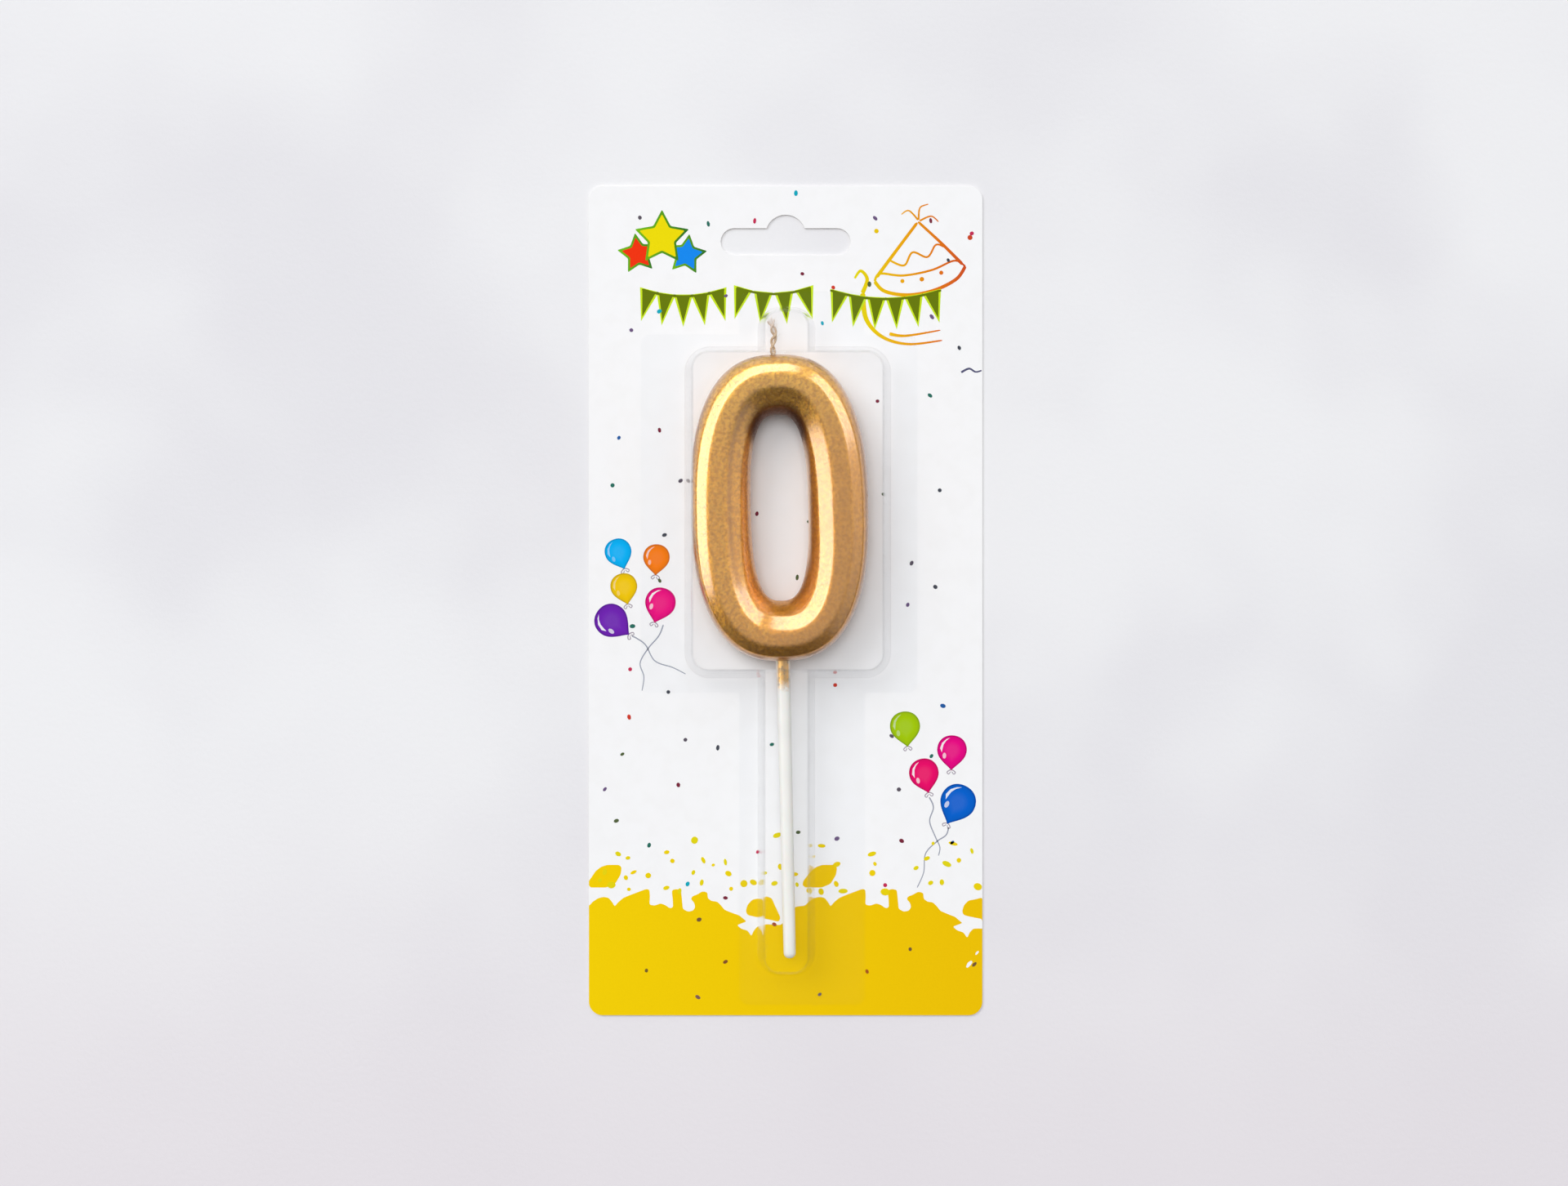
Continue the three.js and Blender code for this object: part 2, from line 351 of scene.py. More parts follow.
def softBox(name, size, radiance, azimuth, elevation, mirrored=True, lights=True):
    light = bpy.data.lights.new(name, "AREA")
    light.shape = "RECTANGLE"
    light.size, light.size_y = size
    light.energy = 4 * radiance * size[0] * size[1]
    turn, rise = radians(azimuth), radians(elevation)
    towards = Vector((cos(turn) * cos(rise), sin(turn) * cos(rise), sin(rise)))
    lamp = linkObject(name, light)
    lamp.location = towards * lampDistance
    lamp.rotation_mode = "QUATERNION"
    lamp.rotation_quaternion = towards.to_track_quat("Z", "Y")
    lamp.visible_glossy = mirrored
    lamp.visible_diffuse = lights


for lampName, lampValues in lamps.items():
    softBox(lampName, **lampValues)

sky = bpy.data.worlds.new("softSky")
sky.use_nodes = True
background = sky.node_tree.nodes["Background"].inputs
background["Color"].default_value = opaque(world["colour"])
outlook = made(sky.node_tree, "ShaderNodeTexCoord", None, "Generated")
bright = Vector(world["towards"]).normalized()
facing = calcVector("DOT_PRODUCT", outlook, bright, output="Value")
feed(background["Strength"], rangeMap(facing, *world["reach"]))
bpy.context.scene.world = sky
bpy.context.scene.view_settings.view_transform = "Standard"
print("camera and lamps set")

# Floor: pale and a little cloudy, with painted shade that makes it darker and warmer towards the bottom
floorLook = {
    "size": 16.0,
    "drop": 0.00002,
    "colour": (241, 241, 243),
    "cloud": (231, 230, 234),
    "cloudScale": 9.0,
    "cloudReach": (0.4, 0.66, 1.0),
    "warmShade": (229, 223, 228),
    "warmShadeReach": (-0.02, -0.13, 0.8),
}
floorMaterial, tree, shader, point = newMaterial("paleGround", {"Roughness": 0.85})
pale, cloud, warmShade = (linear(*floorLook[name]) for name in ("colour", "cloud", "warmShade"))
clouds = noiseField(point, floorLook["cloudScale"], 3.0)
tone = tintOver(clouds, floorLook["cloudReach"], opaque(pale), cloud)
# painted shade: the floor grows darker and warmer towards the bottom
tone = tintOver(axes(point)["Y"], floorLook["warmShadeReach"], tone, warmShade)
feed(shader["Base Color"], tone)
feed(shader["Normal"], bumped(noiseField(point, 900.0), 0.00004))
clear = made(tree, "ShaderNodeBsdfTransparent")  # seen from below, the ground is open
side = made(tree, "ShaderNodeNewGeometry", None, "Backfacing")
frontOnly = mixShader(side, out(tree.nodes["Principled BSDF"]), clear)
feed(tree.nodes["Material Output"].inputs["Surface"], frontOnly)
half, low = floorLook["size"] / 2, -floorLook["drop"]
corners = [(-half, -half, low), (half, -half, low), (half, half, low), (-half, half, low)]
ground = meshObject("ground", corners, [(0, 1, 2, 3)])
ground.data.materials.append(floorMaterial)


def roundedRectangle(left, right, bottom, top, radius, steps):
    points = []
    for corner in range(4):
        centreX = right - radius if corner in (0, 3) else left + radius
        centreY = top - radius if corner < 2 else bottom + radius
        for step in range(steps + 1):
            angle = (pi / 2) * (corner + step / steps)
            points.append((centreX + radius * cos(angle), centreY + radius * sin(angle)))
    return points


def arc(centreX, centreY, radius, start, end, steps):
    return [
        (
            centreX + radius * cos(start + (end - start) * step / steps),
            centreY + radius * sin(start + (end - start) * step / steps),
        )
        for step in range(steps + 1)
    ]


# Board: a die-cut sheet with a hang slot
board = {
    "width": 85,
    "height": 179,
    "thickness": 0.45,
    "corner": 3,
    "slotWidth": 28,
    "slotHeight": 5.8,
    "slotToTop": 12,
    "humpWidth": 8.2,
    "humpRise": 2.9,
    "edgeRound": 0.05,
    "edgeSteps": 2,
    "sharpAngle": 50,
    "coatFrom": (0.34, 0.4),
    "mottle": 0.06,
    "white": (249, 249, 250),
    "core": (226, 221, 210),
    "back": (216, 212, 204),
}


def slotOutline(margin=0.0):
    y = board["height"] / 2 - board["slotToTop"]
    endRadius = board["slotHeight"] / 2
    endX = board["slotWidth"] / 2 - endRadius
    humpRadius = (board["humpWidth"] ** 2 / 4 + board["humpRise"] ** 2) / (2 * board["humpRise"])
    humpY = y + endRadius + board["humpRise"] - humpRadius
    humpAngle = acos(board["humpWidth"] / 2 / humpRadius)
    outline = arc(endX, y, endRadius + margin, -pi / 2, pi / 2, 16)
    outline += arc(0, humpY, humpRadius + margin, humpAngle, pi - humpAngle, 20)
    outline += arc(-endX, y, endRadius + margin, pi / 2, pi * 1.5, 16)
    return outline


def boardOutline(inset=0.0):
    x, y = board["width"] / 2 - inset, board["height"] / 2 - inset
    return roundedRectangle(-x, x, -y, y, board["corner"] - inset, 10)


def prism(body, loops, low, high, colour=None, layer=None):
    # a flat solid between two heights; the first outline is the outer one and the others are holes
    rows = [[Vector((x, y, 0)) for x, y in loop] for loop in loops]
    flat = [p for row in rows for p in row]
    top = [body.verts.new((p.x, p.y, high)) for p in flat]
    base = [body.verts.new((p.x, p.y, low)) for p in flat]
    for a, b, c in tessellate_polygon(rows):
        body.faces.new((top[a], top[b], top[c]))
        body.faces.new((base[c], base[b], base[a]))
    start = 0
    for row in rows:
        count = len(row)
        for i in range(count):
            a, b = start + i, start + (i + 1) % count
            body.faces.new((top[a], base[a], base[b], top[b]))
        start += count
    if layer is not None:
        for vertex, p in zip(top + base, flat + flat):
            shade = colour(p.x, p.y) if callable(colour) else colour
            vertex[layer] = opaque(shade)


def startBody():
    body = bmesh.new()
    return body, body.verts.layers.float_color.new("inkColour")


def finishBody(name, body, material):
    bmesh.ops.recalc_face_normals(body, faces=body.faces)
    mesh = bpy.data.meshes.new(name)
    body.to_mesh(mesh)
    body.free()
    mesh.transform(packPlace)
    mesh.materials.append(material)
    return linkObject(name, mesh)


boardMaterial, tree, shader, point = newMaterial("coatedBoard", {"Specular IOR Level": 0.25})
white, back = linear(*board["white"]), linear(*board["back"])
mottled = blendColour(white, back, board["mottle"])
whiteFace = tintOver(noiseField(point, 260.0, 4.0), (0.35, 0.7, 1.0), opaque(white), mottled)
pulpInputs = {"Vector": point, "Scale": (1.0, 2.6, 30.0)}
pulp = made(tree, "ShaderNodeMapping", pulpInputs, vector_type="POINT")
fibre = noiseField(pulp, 1500.0, 4.0, 0.6)
pulpTone = tintOver(fibre, (0.42, 0.62, 1.0), opaque(back), linear(*board["core"]))
coated = rangeMap(axes(point)["Z"], *(height * mm for height in board["coatFrom"]))
feed(shader["Base Color"], mixColour(coated, pulpTone, whiteFace))
feed(shader["Roughness"], rangeMap(coated, 0.0, 1.0, 0.85, 0.6))
feed(shader["Normal"], bumped(noiseField(point, 900.0, 3.0, 0.6), 0.000012, 0.6))

body = bmesh.new()
prism(body, [boardOutline(), slotOutline()[::-1]], 0.0, board["thickness"])
boardSheet = finishBody("boardSheet", body, boardMaterial)
bevel = boardSheet.modifiers.new("edgeRound", "BEVEL")
bevel.width = board["edgeRound"] * mm
bevel.segments = board["edgeSteps"]
bevel.limit_method = "ANGLE"
bevel.angle_limit = radians(board["sharpAngle"])
settle(boardSheet)
tidyMesh(boardSheet, 1e-8, 12)
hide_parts("card")
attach(boardSheet, "hang_card")
print("board made")

# Print: thin coats of ink on the board, each a little higher than the one under it
ink = {
    "root": 0.446,
    "step": 0.008,
    "inset": 0.03,
    "roughness": 0.4,
    "shine": 0.06,
    "grainScale": 2600.0,
    "grainReach": (0.3, 0.75, 0.0, 0.1),
    "grainTint": (0.82, 0.8, 0.8),
    "glossScale": 500.0,
    "glossReach": (0.3, 0.7, 0.32, 0.42),
}
inkFinish = {"Roughness": ink["roughness"], "Specular IOR Level": ink["shine"]}


def inkTop(coat):
    return board["thickness"] + ink["step"] * coat


def inkShape(body, layer, outlines, coat, colour):
    prism(body, outlines, ink["root"], inkTop(coat), colour, layer)


def inkPiece(piece):
    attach(piece, "hang_card")


inkMaterial, tree, shader, point = newMaterial("printInk", inkFinish)
tint = attribute(tree, "inkColour", "Color")
grain = rangeMap(noiseField(point, ink["grainScale"]), *ink["grainReach"])
deeper = mixColour(1.0, tint, opaque(ink["grainTint"]), "MULTIPLY")
feed(shader["Base Color"], mixColour(grain, tint, deeper))
feed(shader["Roughness"], rangeMap(noiseField(point, ink["glossScale"]), *ink["glossReach"]))

splash = {
    "yellow": (246, 209, 0),
    "deep": (240, 195, 0),
    "starts": (-42.7, 3.9),
    "fall": (22.0, 0.03),
    # the upper edge of one splash, from its left end
    "edge": [
        (-1.6, -66.0), (0.3, -65.8), (1.0, -65.0), (2.2, -64.2), (3.3, -63.9), (4.5, -64.1), (5.3, -65.1),
        (5.8, -66.0), (6.5, -65.1), (7.7, -64.1), (9.4, -63.4), (11.3, -62.7), (12.6, -62.2), (13.3, -62.3),
        (13.4, -63.8), (13.3, -65.6), (14.4, -65.8), (15.7, -65.3), (16.8, -65.7), (17.7, -66.4),
        (18.4, -66.2), (18.3, -64.3), (18.1, -62.5), (19.0, -62.2), (20.1, -62.4), (20.3, -64.3),
        (20.5, -66.5), (21.6, -67.1), (22.7, -66.9), (23.2, -66.1), (22.9, -65.1), (22.2, -64.4),
        (22.5, -63.8), (23.6, -63.4), (24.7, -62.7), (25.8, -62.9), (25.9, -64.2), (26.7, -64.8),
        (27.9, -64.9), (28.8, -65.8), (29.5, -66.7), (31.0, -67.3), (32.7, -67.9), (33.4, -68.5),
        (34.3, -69.2), (33.3, -69.6), (32.2, -70.0), (33.1, -70.8), (34.5, -71.2), (35.3, -72.4),
        (35.8, -71.2), (36.6, -70.3), (38.6, -69.8), (41.6, -70.0), (43.4, -68.4), (44.4, -66.4),
    ],
    "dome": [
        (-3.9, -0.4), (-3.5, 0.9), (-2.5, 2.0), (-0.8, 2.3), (0.6, 2.7), (1.7, 2.3), (2.4, 0.7), (3.6, -1.9),
        (3.2, -2.8), (0.6, -2.2), (-2.0, -1.7), (-3.6, -1.3),
    ],
    "leaf": [
        (-3.7, -1.9), (-3.5, -1.0), (-1.8, 1.2), (-0.6, 2.1), (0.7, 2.5), (3.3, 2.5), (3.8, 1.9), (3.6, 0.4),
        (2.4, -1.6), (0.5, -2.4), (-3.0, -2.4),
    ],
    "domes": [(-4.7, -66.5, 1.0, 0), (41.8, -66.6, 0.95, 0)],
    "leaves": [(-39.2, -59.5, 1.0, 0), (7.3, -59.5, 1.0, 0)],
    "nick": [(-0.7, -0.7), (-0.3, 0.3), (0.5, 0.8), (0.8, 0.4), (0.2, -0.4), (-0.4, -0.9)],
    "nicks": [(41.3, -76.0, 0.62), (39.6, -78.4, 1.0)],
    "nickSpacing": 0.16,
    "spacing": 0.22,
    "rounds": 3,
    "slabTop": -80,
    "edgeSpare": 0.01,
    "shadeWidth": 84,
}


def splashEdge(start):
    fallFrom, fall = splash["fall"]
    sinking = fall if start > 0 else 0.0
    return [(start + x, y - sinking * max(0.0, x - fallFrom)) for x, y in splash["edge"]]


def turned(points, x, y, degrees):
    angle = radians(degrees)
    return [
        (x + px * cos(angle) - py * sin(angle), y + px * sin(angle) + py * cos(angle))
        for px, py in points
    ]


def scaled(points, scale):
    return [(px * scale, py * scale) for px, py in points]


def splashSpot(shape, x, y, scale, turn=0.0):
    return turned(scaled(splash[shape], scale), x, y, turn)


def unionLoops(loops):
    # the outer outlines of overlapping shapes
    flat, rows = [], []
    for loop in loops:
        rows.append(list(range(len(flat), len(flat) + len(loop))))
        flat += [Vector(p) for p in loop]
    points, _, faces, *_ = delaunay_2d_cdt(flat, [], rows, 1, 1e-6)
    ahead = {}
    used = set()
    for face in faces:
        for a, b in zip(face, [*face[1:], face[0]]):
            used.add((a, b))
    for a, b in used:
        if (b, a) not in used:
            ahead[a] = b
    outlines = []
    while ahead:
        start = next(iter(ahead))
        here, loop = ahead.pop(start), [start]
        while here != start:
            loop.append(here)
            here = ahead.pop(here)
        outlines.append([tuple(points[i]) for i in loop])
    return outlines


def even(loop, spacing):
    # the same outline with points at an even distance
    points = []
    for (ax, ay), (bx, by) in zip(loop, [*loop[1:], loop[0]]):
        count = max(1, round(hypot(bx - ax, by - ay) / spacing))
        points += [(ax + (bx - ax) * i / count, ay + (by - ay) * i / count) for i in range(count)]
    return points


def relax(loop, rounds, fixed):
    for _ in range(rounds):
        before, after = [loop[-1], *loop[:-1]], [*loop[1:], loop[0]]
        loop = [
            p if fixed(p) else (0.5 * p[0] + 0.25 * (a[0] + b[0]), 0.5 * p[1] + 0.25 * (a[1] + b[1]))
            for a, p, b in zip(before, loop, after)
        ]
    return loop


edgeX = board["width"] / 2 - ink["inset"]


def nowhere(p):
    return False


def onBoardEdge(p):
    return abs(p[0]) > edgeX - splash["edgeSpare"] or p[1] < splash["slabTop"]


def keptInside(loop):
    return [(max(-edgeX, min(edgeX, x)), y) for x, y in loop]


upperEdge = [p for start in splash["starts"] for p in splashEdge(start) if -edgeX < p[0] < edgeX]
slab = [p for p in boardOutline(ink["inset"]) if p[1] < splash["slabTop"]]
slab = [(-edgeX, upperEdge[0][1]), *slab, (edgeX, upperEdge[-1][1]), *upperEdge[::-1]]
shapes = [slab] + [keptInside(splashSpot("dome", *spot)) for spot in splash["domes"]]
shapes += [keptInside(splashSpot("leaf", *spot)) for spot in splash["leaves"]]
nicks = [even(splashSpot("nick", *nick), splash["nickSpacing"]) for nick in splash["nicks"]]
nicks = [relax(nick, splash["rounds"], nowhere) for nick in nicks]


def splashColour(x, y):
    share = 0.5 + x / splash["shadeWidth"]
    return blendColour(linear(*splash["yellow"]), linear(*splash["deep"]), share)


body, layer = startBody()
for outline in unionLoops(shapes):
    outline = relax(even(outline, splash["spacing"]), splash["rounds"], onBoardEdge)
    holes = nicks if min(y for x, y in outline) < splash["slabTop"] else []
    inkShape(body, layer, [outline, *holes], 1, splashColour)
yellowSplash = finishBody("yellowSplash", body, inkMaterial)
print("splash made", len(yellowSplash.data.polygons))

# Drops over the splash and confetti over the whole board: Geometry Nodes scatter both
scatterNames = ("Least Gap", "Density", "Radius", "Seed")
dropLook = {
    "area": (-41.5, 41.5, -63.0, -48.5),
    "yellow": (240, 208, 4),
    "lime": (226, 214, 20),
    "foot": -62.0,
    "sides": 14,
    "scale": ((0.45, 0.4, 1.0), (1.6, 1.25, 1.0)),
    "turn": 0.5,
    "Least Gap": 2.0,
    "Density": 0.12,
    "Radius": 0.66,
    "Reach": 13.0,
    "Seed": 11,
}
confetti = {
    "margin": 1.2,
    "colours": [
        (70, 74, 84), (38, 92, 160), (122, 40, 60), (20, 168, 190), (92, 84, 96),
        (196, 44, 84), (44, 110, 96), (110, 88, 128), (206, 60, 44), (84, 98, 62),
    ],
    "onYellow": (138, 96, 20),
    "yellowFrom": (-0.0665, -0.0675, 0.62),
    "sides": 8,
    "scale": ((0.8, 0.62, 1.0), (1.25, 0.9, 1.0)),
    "turn": 1.6,
    "Least Gap": 7.0,
    "Density": 0.0085,
    "Radius": 0.52,
    "Seed": 27,
}


def scatter(name, look, sockets, material, outlines):
    tree, given = newTree(name + "Scatter", sockets)
    points = made(
        tree,
        "GeometryNodeDistributePointsOnFaces",
        {
            "Mesh": given["Geometry"],
            "Distance Min": given["Least Gap"],
            "Density Max": given["Density"],
            "Seed": given["Seed"],
        },
        "Points",
        distribute_method="POISSON",
    )
    if "Reach" in given:
        # fewer with the height over the foot
        y = axes(made(tree, "GeometryNodeInputPosition"))["Y"]
        rise = rangeMap(y, look["foot"], given["Reach"] + look["foot"], 0.0, 1.0, False)
        lost = calc("LESS_THAN", randomValue(tree, given["Seed"]) ** 0.7, rise)
        inputs = {"Geometry": points, "Selection": lost}
        points = made(tree, "GeometryNodeDeleteGeometry", inputs, domain="POINT")
    depth = inkTop(5) - ink["root"]
    inputs = {"Vertices": look["sides"], "Radius": given["Radius"], "Depth": depth}
    disc = made(tree, "GeometryNodeMeshCylinder", inputs, "Mesh")
    turn = look["turn"]
    copies = {
        "Points": points,
        "Instance": disc,
        "Rotation": randomValue(tree, 5, (0, 0, -turn), (0, 0, turn)),
        "Scale": randomValue(tree, 3, *look["scale"]),
    }
    copies = made(tree, "GeometryNodeInstanceOnPoints", copies)
    endTree(tree, stored(tree, copies, "speckPick", randomValue(tree, 9), "INSTANCE"), material)

    rows = [[Vector((x, y, 0)) for x, y in loop] for loop in outlines]
    high = (ink["root"] + inkTop(5)) / 2
    flat = [(p.x, p.y, high) for row in rows for p in row]
    piece = meshObject(name, flat, tessellate_polygon(rows))
    runTree(piece, tree, sockets)
    placeMesh(piece, packPlace)
    tidyMesh(piece, 1e-8)
    print(name, len(piece.data.polygons))
    return piece


dropInk, tree, shader, point = newMaterial("dropInk", inkFinish)
pick = attribute(tree, "speckPick")
feed(shader["Base Color"], mixColour(pick, printed(dropLook["yellow"]), printed(dropLook["lime"])))
left, right, bottom, top = dropLook["area"]
band = [(left, bottom), (right, bottom), (right, top), (left, top)]
dropSockets = chosen(dropLook, *scatterNames, "Reach")
splashDrops = scatter("splashDrops", dropLook, dropSockets, dropInk, [band])

confettiInk, tree, shader, point = newMaterial("confettiInk", inkFinish)
ramp = addNode(tree, "ShaderNodeValToRGB", {"Fac": attribute(tree, "speckPick")})
ramp.color_ramp.interpolation = "CONSTANT"
stops = ramp.color_ramp.elements
stops[1].position = 1 / len(confetti["colours"])
for number, colour in enumerate(confetti["colours"]):
    stop = stops[number] if number < 2 else stops.new(number / len(confetti["colours"]))
    stop.color = printed(colour)
onYellow, yellowFrom = linear(*confetti["onYellow"]), confetti["yellowFrom"]
feed(shader["Base Color"], tintOver(axes(point)["Y"], yellowFrom, out(ramp, "Color"), onYellow))
margin, confettiSockets = confetti["margin"], chosen(confetti, *scatterNames)
outlines = [boardOutline(margin), slotOutline(margin)[::-1]]
confettiSpecks = scatter("confettiSpecks", confetti, confettiSockets, confettiInk, outlines)


def bezier(a, b, c, d, steps):
    points = []
    for i in range(steps):
        t = i / steps
        s = 1 - t
        points.append(
            tuple(
                s ** 3 * p + 3 * s * s * t * q + 3 * s * t * t * r + t ** 3 * u
                for p, q, r, u in zip(a, b, c, d)
            )
        )
    return points


def smoothPath(points, steps=10):
    # a smooth curve through the points
    path = []
    for i in range(len(points) - 1):
        before = points[max(i - 1, 0)]
        a, b = points[i], points[i + 1]
        after = points[min(i + 2, len(points) - 1)]
        first = (a[0] + (b[0] - before[0]) / 6, a[1] + (b[1] - before[1]) / 6)
        second = (b[0] - (after[0] - a[0]) / 6, b[1] - (after[1] - a[1]) / 6)
        path += bezier(a, first, second, b, steps)
    return [*path, points[-1]]


def stroke(points, startWidth, endWidth=None, steps=10):
    # a ribbon along a smooth path, with round ends
    path = smoothPath(points, steps)
    endWidth = startWidth if endWidth is None else endWidth
    leftSide, rightSide = [], []
    for i, (x, y) in enumerate(path):
        ax, ay = path[max(i - 1, 0)]
        bx, by = path[min(i + 1, len(path) - 1)]
        length = hypot(bx - ax, by - ay)
        share = i / (len(path) - 1)
        half = (startWidth + (endWidth - startWidth) * share) / 2
        if i in (0, len(path) - 1):
            half *= 0.6
        nx, ny = -(by - ay) / length * half, (bx - ax) / length * half
        leftSide.append((x + nx, y + ny))
        rightSide.append((x - nx, y - ny))
    return leftSide + rightSide[::-1]


balloons = {
    "left": [
        (-36.1, 10.4, 2.9, 20, (3, 178, 246), 0.3),
        (-27.9, 9.2, 2.85, -3, (249, 128, 8), 0.6),
        (-34.9, 2.9, 2.9, 12, (242, 200, 3), 0.25),
        (-27.1, -0.6, 3.3, -16, (240, 4, 132), 0.9),
        (-37.5, -4.4, 3.6, 52, (112, 36, 178), 0.9),
    ],
    "right": [
        (25.8, -27.3, 3.25, 7, (164, 202, 4), 0.3),
        (35.9, -32.4, 3.2, -2, (233, 3, 132), 0.85),
        (29.9, -37.4, 3.2, 13, (236, 8, 106), 0.85),
        (37.1, -43.6, 3.85, -26, (2, 98, 206), 0.85),
    ],
    "leftStrings": [
        [(-33.2, -7.6), (-32.0, -8.2), (-30.2, -9.6), (-28.2, -13.0), (-24.4, -14.4), (-21.6, -15.8)],
        [(-26.4, -5.2), (-27.4, -7.6), (-29.6, -10.2), (-31.4, -13.4), (-30.6, -16.4), (-31.0, -19.4)],
    ],
    "rightStrings": [
        [(31.0, -42.4), (31.9, -44.6), (31.1, -47.6), (32.3, -50.9), (33.3, -53.2), (33.0, -55.0)],
        [(35.2, -48.9), (34.6, -50.6), (32.6, -52.0), (30.2, -54.6), (29.8, -58.6), (28.4, -61.9)],
    ],
    "string": (158, 162, 176),
    "stringWidth": 0.3,
    "stringTaper": 0.7,
    "tip": -1.3,
    "bow": (170, 160, 172),
    "bowLoop": [(0, 0.1), (0.5, -0.1), (0.9, -0.5), (0.55, -0.85), (0.12, -0.3)],
    "bowWidths": (0.26, 0.18),
    # tones from the rim inwards, and how far each is from the balloon's own colour
    "rings": [(1.0, "dark"), (0.94, "dark"), (0.88, "deep"), (0.62, "base"), (0.3, "bright")],
    "dark": 0.34,
    "deep": 0.1,
    "bright": 0.02,
    "gleamTint": (0.95, 0.95, 0.97),
    "spot": (-0.5, -0.34, 0.12, 0.2),
    "spotShare": 0.65,
    # a highlight's outline on a balloon of radius 1
    "gleam": [
        (-0.68, -0.12), (-0.8, 0.16), (-0.68, 0.52), (-0.4, 0.78), (-0.16, 0.88),
        (-0.42, 0.66), (-0.58, 0.4), (-0.64, 0.12),
    ],
}


def balloonOutline(radius):
    r = radius
    corners = [(0, 1.05 * r), (r, 0.06 * r), (0, -1.32 * r), (-r, 0.06 * r)]
    handles = [
        ((0.58 * r, 1.05 * r), (r, 0.66 * r)),
        ((r, -0.6 * r), (0.26 * r, -0.98 * r)),
        ((-0.26 * r, -0.98 * r), (-r, -0.6 * r)),
        ((-r, 0.66 * r), (-0.58 * r, 1.05 * r)),
    ]
    outline = []
    for i in range(4):
        outline += bezier(corners[i], *handles[i], corners[(i + 1) % 4], 14)
    return outline


def addBalloon(body, layer, x, y, radius, turn, colour, gleamShare):
    base = linear(*colour)
    white, black = (1.0, 1.0, 1.0), (0.0, 0.0, 0.02)
    tones = {"base": base, "bright": blendColour(base, white, balloons["bright"])}
    for name in ("dark", "deep"):
        tones[name] = blendColour(base, black, balloons[name])

    def placed(points, scale=1.0):
        return turned(scaled(points, scale), x, y, turn)

    def level(scale, tone, high):
        vertices = [body.verts.new((*p, high)) for p in placed(balloonOutline(radius), scale)]
        for vertex in vertices:
            vertex[layer] = opaque(tone)
        return vertices

    levels = [level(scale, tones[name], inkTop(2)) for scale, name in balloons["rings"]]
    lower = level(1.0, tones["dark"], ink["root"])
    for above, under in zip([lower, *levels], levels):
        for i in range(len(lower)):
            j = (i + 1) % len(lower)
            body.faces.new((above[i], above[j], under[j], under[i]))
    body.faces.new(levels[-1])
    body.faces.new(lower[::-1])
    gleamTint = blendColour(base, balloons["gleamTint"], gleamShare)
    spotTint = blendColour(base, white, balloons["spotShare"] * gleamShare)
    spotX, spotY, halfWide, halfHigh = balloons["spot"]
    angles = [2 * pi * i / 12 for i in range(12)]
    spot = [(spotX + halfWide * cos(a), spotY + halfHigh * sin(a)) for a in angles]
    inkShape(body, layer, [placed(balloons["gleam"], radius)], 3, gleamTint)
    inkShape(body, layer, [placed(spot, radius)], 3, spotTint)
    tip = balloons["tip"] * radius
    for way in (-1, 1):
        loop = [(way * px, py + tip) for px, py in balloons["bowLoop"]]
        ribbon = stroke(placed(loop), *balloons["bowWidths"], 5)
        inkShape(body, layer, [ribbon], 1, linear(*balloons["bow"]))


for sideName in ("left", "right"):
    body, layer = startBody()
    for points in balloons[sideName + "Strings"]:
        width = balloons["stringWidth"]
        ribbon = stroke(points, width, width * balloons["stringTaper"])
        inkShape(body, layer, [ribbon], 1, linear(*balloons["string"]))
    for values in balloons[sideName]:
        addBalloon(body, layer, *values)
    inkPiece(finishBody("balloons" + sideName.capitalize(), body, inkMaterial))
for piece in (yellowSplash, splashDrops, confettiSpecks):
    inkPiece(piece)
print("balloons made")

# Header ornaments: three stars, rows of pennants and a line drawing of a party hat
stars = {
    "trio": [
        (-31.9, 74.9, 3.7, 8, (244, 52, 12)),
        (-21.4, 74.7, 3.7, -8, (20, 138, 240)),
        (-26.7, 78.3, 5.3, 0, (240, 222, 2)),
    ],
    "waist": 0.52,
    "spacing": 0.22,
    "rounds": 2,
    "border": 0.85,
    "inset": 0.15,
    "light": (118, 190, 22),
    "dark": (44, 112, 36),
}


def starOutline(radius):
    points = []
    for i in range(10):
        reach = radius if i % 2 == 0 else radius * stars["waist"]
        points.append((reach * sin(pi * i / 5), reach * cos(pi * i / 5)))
    return relax(even(points, stars["spacing"]), stars["rounds"], nowhere)


body, layer = startBody()
for number, (x, y, radius, turn, colour) in enumerate(stars["trio"]):
    def greenShade(px, py, centreX=x, reach=radius):
        share = max(0.0, min(1.0, 0.5 + (px - centreX) / (2 * reach)))
        return blendColour(linear(*stars["light"]), linear(*stars["dark"]), share)

    lift = 0 if number < 2 else 2
    grown = turned(starOutline(radius + stars["border"]), x, y, turn)
    inkShape(body, layer, [grown], 1 + lift, greenShade)
    filled = turned(starOutline(radius - stars["inset"]), x, y, turn)
    inkShape(body, layer, [filled], 2 + lift, linear(*colour))
inkPiece(finishBody("starTrio", body, inkMaterial))

bunting = {
    "swags": [(-31.0, -13.2, 67.2, 1.5), (-10.6, 5.4, 67.6, 1.4), (9.6, 33.6, 67.0, 1.9)],
    "Pennant Width": 2.95,
    "Pennant Height": 5.6,
    "Spacing": 3.55,
    "Outline": 0.42,
    "outlineAside": 3.0,
    "outlineBelow": 3.4,
    "cordWidth": 0.5,
    "olive": (104, 122, 8),
    "glow": (202, 230, 34),
    # a triangle of radius 1: its width, its height and the share of the height above its middle
    "triangle": (1.7321, 1.5, 0.3333),
}
pennantInk, tree, shader, point = newMaterial("pennantInk", inkFinish)
glow, olive = printed(bunting["glow"]), printed(bunting["olive"])
feed(shader["Base Color"], mixColour(attribute(tree, "tone"), glow, olive))

